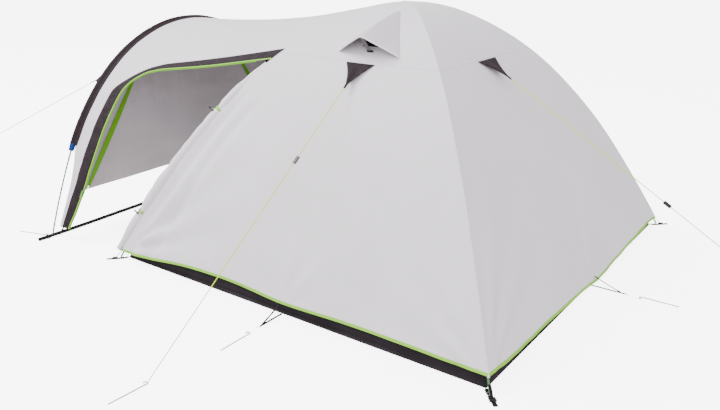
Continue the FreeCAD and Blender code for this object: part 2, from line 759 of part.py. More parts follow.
def zip_slider(name, place, run, face):
    """Slider on a zip: a block with a slot along its run, and its pull tab."""
    block = doc.addObject("Part::Box", name + "_block")
    block.Length, block.Width, block.Height = 16, 11, 7
    slot = doc.addObject("Part::Box", name + "_slot")
    slot.Length, slot.Width = 20, 7
    bind(slot, Height="Sizes.zip_wall + 1")
    slot.Placement = Placement(Vector(-2, 2, 2), Rotation())
    tab = doc.addObject("Part::Box", name + "_tab")
    tab.Length, tab.Width, tab.Height = 34, 6, 1.8
    tab.Placement = Placement(Vector(-26, 2.5, 6.4), Rotation())
    hollow = doc.addObject("Part::Cut", name + "_hollow")
    hollow.Base, hollow.Tool = block, slot
    whole = doc.addObject("Part::Fuse", name)
    whole.Base, whole.Tool = hollow, tab
    axes = Rotation(run, face.cross(run), face, "XYZ")
    whole.Placement = Placement(place + axes.multVec(Vector(-8, -5.5, -2)), axes)
    keep(whole, name)


slider_face = Vector(0, -1, 0)
for name, sign in (("front_zip_slider_near", 1), ("front_zip_slider_far", -1)):
    run = Vector(zip_run.x * sign, 0, zip_run.z).normalize()
    start = zip_low + (zip_near_edge + zip_far_edge) / 2 + zip_run.normalize() * 30
    place = Vector(start.x * sign, front_y - zip_lift + 0.3, start.z)
    zip_slider(name, place, run, slider_face)


def zip_on_porch(name, t, mirror_sign):
    """A slider on a porch door's zip, with its pull hanging down the zip."""
    here = porch_side(t, facing_edge(t) + zip_middle)
    run = (porch_side(t - 0.05, facing_edge(t - 0.05) + zip_middle) - here).normalize()
    outwards = Vector(run.z, 0, -run.x)
    outwards = (outwards - run * outwards.dot(run)).normalize()
    flip = Vector(mirror_sign, 1, 1)
    here, run, outwards = [Vector(p.x * flip.x, p.y, p.z) for p in (here, run, outwards)]
    zip_slider(name, here + outwards * (zip_lift - 0.3), run, outwards)
    return run


near_run = zip_on_porch("near_zip_slider", 0.84, 1)
far_run = zip_on_porch("far_zip_slider", 0.90, -1)

# ------------------------------------------------------------------ inner tent

inner_out, inner_in = -size("inner_gap"), -size("inner_gap") - size("inner_wall")
tub_share = upper_pole.share_at_height(size("tub_height") + size("seam_gap"))
inner_sides = {side: dome_side(inner_in, inner_out, 0, tub_share, *SIDES[side]) for side in SIDES}
INNER_DOOR = {"left": -size("inner_door_half"), "right": size("inner_door_half"),
              "low": size("inner_door_low"), "high": size("inner_door_high")}


def door_prism(grow):
    """Block with rounded upright corners that cuts the inner door out of the front."""
    low = Vector(INNER_DOOR["left"] - grow, -1.2 * half_length, INNER_DOOR["low"] - grow)
    block = Part.makeBox(INNER_DOOR["right"] - INNER_DOOR["left"] + 2 * grow, 1.2 * half_length,
                         INNER_DOOR["high"] - INNER_DOOR["low"] + 2 * grow, low)
    level = [e for e in block.Edges if abs(e.tangentAt(e.FirstParameter).y) > 0.9]
    return block.makeFillet(size("inner_door_corner") + grow, level)


def window_prism(grow):
    low = Vector(INNER_DOOR["left"] + 110 - grow, -1.2 * half_length, 610 - grow)
    block = Part.makeBox(INNER_DOOR["right"] - INNER_DOOR["left"] - 220 + 2 * grow, 1.2 * half_length,
                         250 + 2 * grow, low)
    level = [e for e in block.Edges if abs(e.tangentAt(e.FirstParameter).y) > 0.9]
    return block.makeFillet(70 + grow, level)


front_inner = inner_sides["front"]
inner_sides["front"] = front_inner.cut(door_prism(3))
node("inner_door", front_inner.common(door_prism(0)).cut(window_prism(0)).Solids[0])
window = dome_side(inner_in + 0.1, inner_out - 0.1, 0, tub_share, *SIDES["front"])
node("inner_door_mesh", window.common(window_prism(-0.2)).Solids[0])
zip_layer = dome_side(inner_out + 0.3, inner_out + 1.8, 0, tub_share, *SIDES["front"])
node("inner_door_zip", zip_layer.common(door_prism(14)).cut(door_prism(4)).Solids[0])
for side, shape in inner_sides.items():
    node(f"inner_{side}_side", shape.Solids[0])

pocket_layer = dome_side(inner_in - 12, inner_in - 1.5, 0, tub_share, *SIDES["rear"])
node("gear_pockets", compound([
    pocket_layer.common(Part.makeBox(300, half_length, 200, Vector(x, 200, 190)))
    for x in (-560, 260)]))

loop_wire = 1.5
loop_radius = 10
lantern = doc.addObject("Part::Torus", "lantern_loop")
lantern.Radius1, lantern.Radius2 = loop_radius, loop_wire
ceiling = upper_top + inner_in
lantern.Placement = Placement(Vector(0, 0, ceiling - loop_radius - loop_wire - 1), Rotation(Vector(1, 0, 0), 90))
keep(lantern, "lantern_loop")


def pole_clip(pole, stand, s):
    """C-shaped hook that snaps on the pole, with the webbing that carries the inner tent."""
    flat, slope = pole.flat_point(s), pole.angle(s)
    centre, along = stand.at(flat), stand.direction(slope)
    inwards = stand.heading * math.sin(slope) - UP * math.cos(slope)
    wide = 12
    ring = ring_face(centre - along * (wide / 2), along, pole_radius + 3, pole_radius + 0.1)
    hook = ring.extrude(along * wide)
    sideways = along.cross(inwards)
    axes = Rotation(inwards, sideways, inwards.cross(sideways), "XYZ")
    mouth = Part.makeBox(20, 6, 40, Vector(-20, -3, -20))
    mouth.Placement = Placement(centre, axes)
    tab = Part.makeBox(14, 1.6, wide, Vector(pole_radius + 1.5, -0.8, -wide / 2))
    tab.Placement = Placement(centre, axes)
    return hook.cut(mouth).fuse(tab)


node("inner_tent_clips", compound([
    pole_clip(pole, stand, sign * s) for pole, stand in ((upper_pole, upper_stand), (lower_pole, lower_stand))
    for s in CLIP_SHARES for sign in (-1, 1)]))

# ------------------------------------------------------------------ pegs and peg loops


def peg(hook, heading):
    """Round steel peg lying flat: a straight shank that ends in an open hook."""
    wire, bend = size("peg_wire") / 2, 9
    heading = Vector(heading).normalize()
    aside = UP.cross(heading)
    start = hook + heading * bend + UP * wire
    shank = Part.makeCylinder(wire, size("peg_length"), start + aside * bend, heading)
    face = ring_face(start + aside * bend, heading, wire, 0)
    crook = face.revolve(start, UP, 200)
    return shank.fuse(crook)


SIDE_PEGS = {"near": ((half_width + 212, 22, 0), (1, 0, 0)), "rear": ((-60, half_length + 240, 0), (0, 1, 0)),
             "far": ((-half_width - 212, 22, 0), (-1, 0, 0))}
porch_hook = Vector(size("arch_half_span") + 6, -size("arch_offset") - 46, 0)
node("tent_pegs", compound([peg(Vector(hook), heading) for hook, heading in SIDE_PEGS.values()] + [
    peg(Vector(end * porch_hook.x, porch_hook.y, 0), (end * 0.3, -1, 0)) for end in (-1, 1)]))


def peg_loop(start, hook, gap, thickness=1.6):
    """Flat webbing on the ground that ends in a loop round the peg's hook."""
    heading = hook - start
    length = heading.Length - 12
    heading.normalize()
    strap = lying_box(start, heading, length, 12, 0, thickness)
    eye = Part.makeTorus(gap, 0.8, start + heading * (length + gap - 0.4) + UP * 0.8, UP)
    return strap.fuse(eye)


edge = size("seam_gap")
node("peg_loops", compound([
    peg_loop(Vector(half_width + edge, 22, 0), Vector(half_width + 202, 22, 0), 9),
    peg_loop(Vector(-60, half_length + edge, 0), Vector(-60, half_length + 230, 0), 9),
    peg_loop(Vector(-half_width - edge, 22, 0), Vector(-half_width - 202, 22, 0), 9)]))

hem_reach = face_point(hem_share, fly_outer + 4, share_x).x
hem_drop = UP * (size("fly_hem") - 16)
hem_straps = [
    slanted_strap(Vector(sign * (half_width + 130), 22, 4), Vector(sign * hem_reach, 22, 0) + hem_drop, 9, 1.2)
    for sign in (-1, 1)] + [
    slanted_strap(Vector(-60, half_length + 150, 4),
                  Vector(-60, face_point(hem_share, fly_outer + 4, share_y).x, 0) + hem_drop, 9, 1.2)]

facing_foot = porch_side(FOOT_SHARE, 0.10)
hook_strap = slanted_strap(Vector(facing_foot.x - 4, arch_line + 4, wall + 3.2), facing_foot - UP * 6, 10, 1.4)
node("fly_peg_straps", compound(hem_straps + [hook_strap, mirrored(hook_strap)]))

# ------------------------------------------------------------------ guy lines

guy_radius = size("guy_diameter") / 2
seam_share = share_at_reach(size("seam_reach"))
side_out = fly_outer + 1.4


def patch(left, right, tip):
    """Stitched triangle that spreads the pull of a guy line."""
    normal = (right - left).cross(tip - left).normalize()
    outline = Part.Face(Part.makePolygon([left, right, tip, left]))
    return outline.extrude(normal * 1.2)


def pulled(left, right, end, length):
    """The tip of a patch that a guy line to end pulls out from the cloth."""
    middle = (left + right) / 2
    return middle + (end - middle).normalize() * length


near_end = Vector(1768, -28, guy_radius + 1)
rear_end = Vector(-50, 2160, guy_radius + 1)
porch_end = Vector(1370, -3110, guy_radius + 1)
far_end = Vector(-near_end.x, near_end.y, near_end.z)
near_left, near_right = [side_place(seam_share, side_out, y) for y in NEAR_PATCH]
rear_flat = face_point(seam_share, side_out, share_y)
rear_left, rear_right = [Vector(x, rear_flat.x, rear_flat.z) for x in REAR_PATCH]
patch_length = size("patch_length")
near_tip = pulled(near_left, near_right, near_end, patch_length)
rear_tip = pulled(rear_left, rear_right, rear_end, patch_length)
gusset_low, gusset_high = [
    arch_stand.at(arch_pole.flat_point(s)) for s in (0.475, 0.385)]
gusset_out = [p + Vector(0.35, -0.94, 0).normalize() * (sleeve_radius + 2) for p in (gusset_low, gusset_high)]
porch_tip = pulled(*gusset_out, porch_end, 62)
node("guy_patches", compound([
    patch(near_left, near_right, near_tip), patch(rear_left, rear_right, rear_tip),
    patch(gusset_out[0], gusset_out[1], porch_tip)]))

GUYS = {"near": (near_tip, near_end, 0.265), "rear": (rear_tip, rear_end, 0.48),
        "porch": (porch_tip, porch_end, 0.60)}
tab_length = 26


def webbing_tab(tip, end):
    run = (end - tip).normalize()
    return slanted_strap(tip + run * 1.5, tip + run * tab_length, 9, 2.4)


node("guy_tabs", compound([webbing_tab(tip, end) for tip, end, _ in GUYS.values()]))
guy_pegs = []
for name, (tip, end, share) in GUYS.items():
    run = (end - tip).normalize()
    start = tip + run * (tab_length + 0.3)
    length = (end - start).Length
    node(f"{name}_guy_line", Part.makeCylinder(guy_radius, length, start, run))
    print(name, "guy line", round(length), "mm, straight")
    level = Vector(run.x, run.y, 0).normalize()
    guy_pegs.append(peg(end - UP * end.z + level * 4, level))
    bar = doc.addObject("Part::Box", name + "_slider_bar")
    bind(bar, Length="Sizes.slider_thickness", Width="Sizes.slider_width", Height="Sizes.slider_length")
    hole = doc.addObject("Part::Cylinder", name + "_slider_hole")
    bind(hole, Radius="Sizes.guy_diameter / 2 + 0.4")
    bind(hole, Height="Sizes.slider_length + 4")
    bore_place = Vector(size("slider_thickness") / 2, size("slider_width") / 2, 0)
    hole.Placement = Placement(bore_place - UP * 2, Rotation())
    slider = doc.addObject("Part::Cut", name + "_guy_slider")
    slider.Base, slider.Tool = bar, hole
    turn = Rotation(UP, run)
    slider.Placement = Placement(start + run * (length * share) - turn.multVec(bore_place), turn)
    keep(slider, name + "_guy_slider")
node("guy_pegs", compound(guy_pegs))

# ------------------------------------------------------------------ checks and files

doc.recompute()
for thing in doc.Objects:
    faults = {"Invalid", "Error"} & set(thing.State)
    if faults:
        raise RuntimeError(f"{thing.Name} failed: {faults}")
for piece in nodes:
    if piece.Shape.isNull() or not piece.Shape.isValid():
        raise RuntimeError(f"{piece.Label} has no valid shape")
    if not piece.Shape.Solids:
        raise RuntimeError(f"{piece.Label} holds no solid")
os.makedirs("parts", exist_ok=True)
for piece in nodes:
    piece.Shape.exportStep(f"parts/{piece.Label}.step")
print(len(nodes), "pieces written")
door_low_share = upper_pole.share_at_height(INNER_DOOR["low"] + 5)
JOINTS = {
    "near slider run": near_run, "far slider run": far_run, "front zip run": zip_run.normalize(),
    "vent strut foot": strut_foot, "far door low": porch_side(FOOT_SHARE, DOOR_EDGE),
    "far door high": porch_side(roof_drop, DOOR_EDGE), "roll upper": roll_place(TIES["upper"]),
    "roll lower": roll_place(TIES["lower"]), "inner door edge": face_point(door_low_share, inner_out, share_y),
    "near guy tip": near_tip, "rear guy tip": rear_tip, "porch guy tip": porch_tip,
    "lantern loop": lantern.Placement.Base}
for name, place in JOINTS.items():
    print(f"{name}: {place.x:.4f} {place.y:.4f} {place.z:.4f}")
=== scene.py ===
"""Looks of the dome tent: flysheet, porch, doors, vents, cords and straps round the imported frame.

Metres, in the frame's own axes: +Z up, the origin on the ground at the middle of the square floor,
the porch towards -Y. The door on the +X side of the porch is rolled back and tied.
"""
import math

import bpy
import numpy as np
from bpy.props import FloatProperty, FloatVectorProperty, PointerProperty
from bpy.types import Operator, Panel, PropertyGroup
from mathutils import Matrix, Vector, noise


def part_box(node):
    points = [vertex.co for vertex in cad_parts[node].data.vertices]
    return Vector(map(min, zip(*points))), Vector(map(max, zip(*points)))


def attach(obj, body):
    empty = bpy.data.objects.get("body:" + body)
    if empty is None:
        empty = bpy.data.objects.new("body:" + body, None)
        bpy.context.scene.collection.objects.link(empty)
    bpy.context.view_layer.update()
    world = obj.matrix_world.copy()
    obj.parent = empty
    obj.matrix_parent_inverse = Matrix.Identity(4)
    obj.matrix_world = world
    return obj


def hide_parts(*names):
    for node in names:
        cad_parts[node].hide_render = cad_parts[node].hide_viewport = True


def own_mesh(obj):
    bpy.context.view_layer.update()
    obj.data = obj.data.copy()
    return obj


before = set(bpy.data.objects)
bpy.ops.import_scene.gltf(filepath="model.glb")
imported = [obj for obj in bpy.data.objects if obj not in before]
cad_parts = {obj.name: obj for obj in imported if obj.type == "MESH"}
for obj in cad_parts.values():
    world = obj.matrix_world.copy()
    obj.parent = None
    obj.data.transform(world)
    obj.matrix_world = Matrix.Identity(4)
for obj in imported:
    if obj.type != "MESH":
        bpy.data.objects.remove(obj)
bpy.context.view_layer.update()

bl_info = {
    "name": "Dome tent",
    "version": (1, 0, 0),
    "blender": (4, 5, 0),
    "location": "3D View > Sidebar > Tent",
    "description": "Builds the cloth, cords and hardware of a dome tent with a porch",
    "category": "Object",
}


def paint(red, green, blue):
    """A display colour of 0 to 255 as the linear colour that materials take."""
    shares = [c / 255 for c in (red, green, blue)]
    return tuple(c / 12.92 if c <= 0.04045 else ((c + 0.055) / 1.055) ** 2.4 for c in shares)


def length_setting(name, description, default):
    return FloatProperty(name=name, description=description, default=default, unit="LENGTH", precision=4)


def colour_setting(name, description, default):
    return FloatVectorProperty(name=name, description=description, default=default, size=3,
                               subtype="COLOR", min=0.0, max=1.0)


class TentSizes(PropertyGroup):
    floor_half: length_setting("Half floor", "Half the side of the square groundsheet",
                               round(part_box("groundsheet_tub")[1].x, 4))
    foot_margin: length_setting("Foot margin", "Pole foot beyond the floor corner, on the diagonal", 0.04)
    foot_height: length_setting("Foot height", "Lower end of each pole above the ground", 0.012)
    dome_bend: FloatProperty(name="Dome bend", description="Spread of the bend along a dome pole",
                             default=0.68, min=0.3, max=1.5)
    apex_height: length_setting("Apex height", "Top of the flysheet", 1.3)
    fly_offset: length_setting("Flysheet offset", "Outside of the flysheet from the pole's middle", 0.0103)
    arch_offset: length_setting("Arch offset", "Porch arch in front of the floor's middle", 1.647)
    arch_half_span: length_setting("Arch half span", "Foot of the porch pole from the middle", 1.11)
    arch_top: length_setting("Arch top", "Middle of the porch pole at its top", 1.116)
    sleeve_low: length_setting("Sleeve end height", "Lower end of the pole sleeve above the ground", 0.495)
    hem_height: length_setting("Hem height", "Lower edge of the flysheet at its corners", 0.048)
    hem_rise: length_setting("Hem rise", "How far the hem pulls up between its straps", 0.058)
    cloth_sag: length_setting("Cloth sag", "How far a side pulls in between its poles", 0.014)
    roof_sag: length_setting("Roof sag", "How far the porch roof hangs below its straight line", 0.048)
    roll_radius: length_setting("Roll radius", "Rolled porch door", 0.026)
    cord_thickness: length_setting("Guy line thickness", "Diameter of the guy lines", 0.004)


class TentColours(PropertyGroup):
    fly: colour_setting("Flysheet", "Outside of the flysheet", paint(224, 217, 224))
    coating: colour_setting("Coating", "Coated inside of the flysheet", paint(190, 182, 186))
    charcoal: colour_setting("Bands", "Charcoal bands and patches", paint(43, 35, 40))
    sleeve: colour_setting("Sleeve", "Pole sleeve of the porch", paint(40, 31, 36))
    trim: colour_setting("Binding", "Hem binding and piping", paint(140, 198, 62))
    tape: colour_setting("Zip tape", "Bright tape of the porch zips", paint(104, 168, 22))
    blue: colour_setting("Sleeve ends", "Coloured ends of the sleeve", paint(14, 52, 122))
    line: colour_setting("Guy lines", "Guy lines", paint(196, 222, 22))
    tub: colour_setting("Groundsheet", "Coated groundsheet", paint(40, 34, 39))
    inner: colour_setting("Inner tent", "Cloth of the inner tent", paint(176, 172, 178))
    webbing: colour_setting("Webbing", "Straps and loops", paint(15, 14, 16))
    pole: colour_setting("Poles", "Fibreglass poles", paint(52, 108, 60))


def sizes():
    return bpy.context.scene.tent_sizes


def colours():
    return bpy.context.scene.tent_colours


# ------------------------------------------------------------------ shapes of the poles and cloth


class BentPole:
    """A straight pole bent into an arch. A place on it is a share s of its length, -1 to 1."""

    def __init__(self, half_span, foot, top, spread=1.0, sections=7, steps=200):
        self.s = np.linspace(-1, 1, sections * steps + 1)
        knots = np.linspace(-1, 1, sections + 1)
        low, high = 0.2, 1.55
        for _ in range(60):
            lean = (low + high) / 2
            bend = np.sign(knots) * np.abs(np.sin(np.pi * knots / 2)) ** spread
            self.slope = np.interp(self.s, knots, -lean * bend)
            x, z = self.added(np.cos(self.slope)), self.added(np.sin(self.slope))
            if z[len(z) // 2] / (x[-1] / 2) < (top - foot) / half_span:
                low = lean
            else:
                high = lean
        self.half_length = half_span / (x[-1] / 2)
        self.x = x * self.half_length - half_span
        self.z = z * self.half_length + foot

    def added(self, rate):
        step = self.s[1] - self.s[0]
        return np.concatenate([[0], np.cumsum((rate[1:] + rate[:-1]) / 2 * step)])

    def at(self, s):
        return np.interp(s, self.s, self.x), np.interp(s, self.s, self.z)

    def slope_at(self, s):
        return np.interp(s, self.s, self.slope)

    def share_at_height(self, height):
        half = len(self.s) // 2
        return np.interp(-np.asarray(height, float), -self.z[half:], self.s[half:])


SHAPES = {}


def pole(name):
    """The upper and lower dome poles and the porch arch, worked out once from the sizes."""
    if not SHAPES:
        z = sizes()
        reach = z.floor_half * math.sqrt(2) + z.foot_margin
        top = z.apex_height - z.fly_offset
        SHAPES["upper"] = BentPole(reach, z.foot_height, top, z.dome_bend)
        SHAPES["lower"] = BentPole(reach, z.foot_height, top - 0.009, z.dome_bend)
        SHAPES["arch"] = BentPole(z.arch_half_span, z.foot_height, z.arch_top)
    return SHAPES[name]


HALF = math.sqrt(0.5)
HEADINGS = {"near": (1, 0), "rear": (0, 1), "far": (-1, 0), "front": (0, -1)}


def stacked(x, y, z):
    x, y, z = np.broadcast_arrays(x, y, z)
    return np.stack([x, y, z], axis=-1).astype(float)


def face(s, offset):
    """Profile of a dome side in its own upright plane: outwards and up."""
    x, z = pole("upper").at(s)
    slope = pole("upper").slope_at(s)
    run, rise = np.cos(slope) * HALF, np.sin(slope)
    size = np.hypot(run, rise)
    return x * HALF - rise / size * offset, z + run / size * offset


def side_place(side, s, w, offset):
    """A point over a dome side: s down the poles, w across it from ridge to ridge, -1 to 1."""
    out, up = face(s, offset)
    ahead, aside = HEADINGS[side]
    across = w * out
    return stacked(ahead * out - aside * across, aside * out + ahead * across, up)


def porch_line(t, v):
    """The +X half of the porch skin: t down the poles from the top, v from the arch to the dome."""
    x, z = pole("arch").at(t)
    out, up = face(t, sizes().fly_offset - 0.001)
    front = -sizes().arch_offset + 0.0132
    return stacked(x + (out - x) * v, front + (-out - 0.0012 - front) * v, z + (up - z) * v)


def porch_place(t, v, lift, half):
    """A point over the porch skin, on the +X half for half = 1 and on the -X half for -1."""
    step = 2e-3
    along = porch_line(t + step, v) - porch_line(np.maximum(t - step, 0), v)
    across = porch_line(t, v + step) - porch_line(t, v - step)
    normal = unit(np.cross(along, across))
    normal[..., 0] = np.where(t < 1e-6, 0.0, normal[..., 0])
    normal = unit(normal)
    return (porch_line(t, v) + normal * np.asarray(lift)[..., None]) * np.array([half, 1, 1])


def unit(vectors):
    return vectors / np.maximum(np.linalg.norm(vectors, axis=-1, keepdims=True), 1e-12)


def bump(x, centre, width):
    """A smooth hill of height 1 at the centre."""
    return np.exp(-((x - centre) / width) ** 2)


def ramp(x, start, end):
    """Smoothly from 0 at start to 1 at end."""
    k = np.clip((np.asarray(x, float) - start) / (end - start), 0, 1)
    return k * k * (3 - 2 * k)


def rumple(points, scale, seed, octaves=3):
    """Smooth noise of about -1 to 1 at each point, the same every time."""
    shift = Vector((seed * 7.31, seed * 3.17, seed * 5.71))
    return np.array([noise.fractal(Vector(p) / scale + shift, 1.0, 2.0, octaves) for p in points])


# ------------------------------------------------------------------ making meshes

CUTS = {}


def read(piece):
    points = np.zeros(len(piece.data.vertices) * 3)
    piece.data.vertices.foreach_get("co", points)
    return points.reshape(-1, 3)


def write(piece, points):
    piece.data.vertices.foreach_set("co", np.asarray(points, float).ravel())
    piece.data.update()


def only(piece):
    """Selects one object and makes it the active one."""
    bpy.ops.object.select_all(action="DESELECT")
    piece.select_set(True)
    bpy.context.view_layer.objects.active = piece


def in_edit_mode(piece, *steps):
    only(piece)
    bpy.ops.object.mode_set(mode="EDIT")
    bpy.ops.mesh.select_all(action="SELECT")
    for step in steps:
        step()
    bpy.ops.object.mode_set(mode="OBJECT")


def apply_modifier(piece, kind, **values):
    only(piece)
    modifier = piece.modifiers.new(kind.title(), kind)
    for key, value in values.items():
        setattr(modifier, key, value)
    bpy.ops.object.modifier_apply(modifier=modifier.name)


def smooth(piece, degrees=50):
    only(piece)
    bpy.ops.object.shade_smooth_by_angle(angle=math.radians(degrees))


def finish_with(piece, *materials):
    piece.data.materials.clear()
    for material in materials:
        piece.data.materials.append(material)


def walk(points):
    return float(np.linalg.norm(np.diff(points, axis=0), axis=1).sum())


def grid(name, across, along, place):
    """A grid whose every point (u, v), from 0 to 1 both ways, lies at place(u, v)."""
    bpy.ops.object.select_all(action="DESELECT")
    bpy.ops.mesh.primitive_grid_add(x_subdivisions=across, y_subdivisions=along, size=1)
    piece = bpy.context.object
    piece.name = piece.data.name = name
    flat = read(piece)
    write(piece, place(flat[:, 0] + 0.5, flat[:, 1] + 0.5))
    line = np.linspace(0, 1, 60)
    rows = [walk(place(line, np.full(60, k))) for k in (0.02, 0.5, 0.98)]
    columns = [walk(place(np.full(60, k), line)) for k in (0.02, 0.5, 0.98)]
    width, length = max(rows), max(columns)
    uv = np.zeros(len(piece.data.loops) * 2)
    piece.data.uv_layers[0].data.foreach_get("uv", uv)
    uv = uv.reshape(-1, 2) * (sum(rows) / 3, sum(columns) / 3)
    piece.data.uv_layers[0].data.foreach_set("uv", uv.ravel())
    area = sum(p.area for p in piece.data.polygons)
    CUTS[name] = (width, length, area)
    return piece


def face_away(piece, inside):
    """Turns the faces so that they point away from a point."""
    centres = np.array([p.center for p in piece.data.polygons])
    normals = np.array([p.normal for p in piece.data.polygons])
    if ((centres - np.array(inside)) * normals).sum() < 0:
        in_edit_mode(piece, bpy.ops.mesh.flip_normals)


def joined(name, pieces):
    """Several pieces made into one, with the points that meet merged."""
    sizes_of = [CUTS.pop(p.name) for p in pieces if p.name in CUTS]
    bpy.ops.object.select_all(action="DESELECT")
    for p in pieces:
        p.select_set(True)
    bpy.context.view_layer.objects.active = pieces[0]
    bpy.ops.object.join()
    whole = bpy.context.object
    whole.name = whole.data.name = name
    in_edit_mode(whole, lambda: bpy.ops.mesh.remove_doubles(threshold=1e-5))
    if sizes_of:
        widths, lengths, areas = zip(*sizes_of)
        CUTS[name] = (max(widths), sum(lengths), sum(areas))
    return whole


TENT_MIDDLE = (0.0, 0.0, 0.35)
UNDER_ROOF = (0, -0.8, 0.2)
UNDER_VENTS = (0, 0, 0.9)
CLOTH, INNER_CLOTH = 0.001, 0.0007


def clothed(piece, wall, outside, inside=None, away_from=TENT_MIDDLE):
    """Gives a sheet its thickness, inwards, with one finish outside and one inside."""
    face_away(piece, away_from)
    finish_with(piece, outside, inside or outside)
    apply_modifier(piece, "SOLIDIFY", thickness=wall, offset=-1, material_offset=1,
                   use_quality_normals=True)
    smooth(piece)
    return piece


def placed(piece, body, slot_name, *nodes):
    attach(piece, body)
    if nodes:
        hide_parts(*nodes)
    return piece


def declare_sheet(piece):
    width, length, area = CUTS[piece.name]
    width = max(width, 0.011)


TAPE_SHADING = 60


def sewn(name, parts, material, slot_name, nodes=(), held=None, shading=TAPE_SHADING):
    """Tapes or straps joined into one piece of one material that stays on the tent."""
    piece = joined(name, parts)
    finish_with(piece, material)
    if shading:
        smooth(piece, shading)
    placed(piece, "tent", slot_name, *nodes)
    if held:
        declare_sheet(piece)


def frames_along(spine, hint):
    """Sideways and upward directions along a line, upward nearest to the hint."""
    tangent = unit(np.gradient(spine, axis=0))
    side = unit(np.cross(tangent, np.broadcast_to(hint, spine.shape)))
    return side, np.cross(side, tangent)


def swept(name, spine, side, up, outline, scale=1.0, closed=True, capped=True):
    """A band or tube: an outline of (sideways, upward) points carried along a line of points."""
    spine = np.asarray(spine, float)
    columns, rows = len(outline) - (0 if closed else 1), len(spine) - 1
    bpy.ops.object.select_all(action="DESELECT")
    bpy.ops.mesh.primitive_grid_add(x_subdivisions=columns, y_subdivisions=rows, size=1)
    piece = bpy.context.object
    piece.name = piece.data.name = name
    flat = read(piece)
    column = np.rint((flat[:, 0] + 0.5) * columns).astype(int) % len(outline)
    row = np.rint((flat[:, 1] + 0.5) * rows).astype(int)
    shape = np.asarray(outline, float)[column]
    grow = np.broadcast_to(np.asarray(scale, float).reshape(-1, 1) if np.ndim(scale) else scale,
                           (len(spine), 1))[row]
    write(piece, spine[row] + side[row] * shape[:, :1] * grow + up[row] * shape[:, 1:] * grow)
    ring = walk(np.vstack([outline, outline[:1]]))
    uv = np.zeros(len(piece.data.loops) * 2)
    piece.data.uv_layers[0].data.foreach_get("uv", uv)
    piece.data.uv_layers[0].data.foreach_set(
        "uv", (uv.reshape(-1, 2) * (ring, walk(spine))).ravel())
    width = ring / 2 if capped else ring
    CUTS[name] = (width, walk(spine), width * walk(spine))
    if closed:
        steps = [lambda: bpy.ops.mesh.remove_doubles(threshold=1e-6)]
        if capped:
            steps.append(lambda: bpy.ops.mesh.fill_holes(sides=0))
        steps.append(lambda: bpy.ops.mesh.normals_make_consistent(inside=False))
        in_edit_mode(piece, *steps)
    return piece


def band_outline(width, thick):
    """Section of a flat band with softened edges."""
    a, b = width / 2, thick / 2
    return np.array([(-a, -b * 0.4), (-a * 0.94, -b), (0, -b), (a * 0.94, -b), (a, -b * 0.4),
                     (a, b * 0.4), (a * 0.94, b), (0, b), (-a * 0.94, b), (-a, b * 0.4)])


def round_outline(radius, count=12):
    turn = np.linspace(0, 2 * np.pi, count, endpoint=False)
    return np.stack([np.cos(turn), np.sin(turn)], axis=-1) * radius


def eased(points, count):
    """A smooth line through a few points, by Catmull-Rom."""
    p = np.asarray(points, float)
    p = np.vstack([2 * p[0] - p[1], p, 2 * p[-1] - p[-2]])
    steps = np.linspace(0, len(p) - 3 - 1e-9, count)
    k = steps.astype(int)
    f = (steps - k)[:, None]
    a, b, c, d = p[k], p[k + 1], p[k + 2], p[k + 3]
    square, cube = 2 * a - 5 * b + 4 * c - d, 3 * b - a - 3 * c + d
    return 0.5 * (2 * b + (c - a) * f + square * f ** 2 + cube * f ** 3)


def strap(name, points, width, thick, hint=(0, 0, 1), count=40):
    """Flat webbing that follows a smooth line, with a slight waver."""
    spine = eased(points, count)
    side, up = frames_along(spine, np.array(hint, float))
    return swept(name, spine, side, up, band_outline(width, thick))


# ------------------------------------------------------------------ materials

MATERIALS = {}
# distance between the threads of a cloth, across and along it
FLY_THREADS, HEAVY_THREADS = (0.0011, 0.0013), (0.0012, 0.0012)


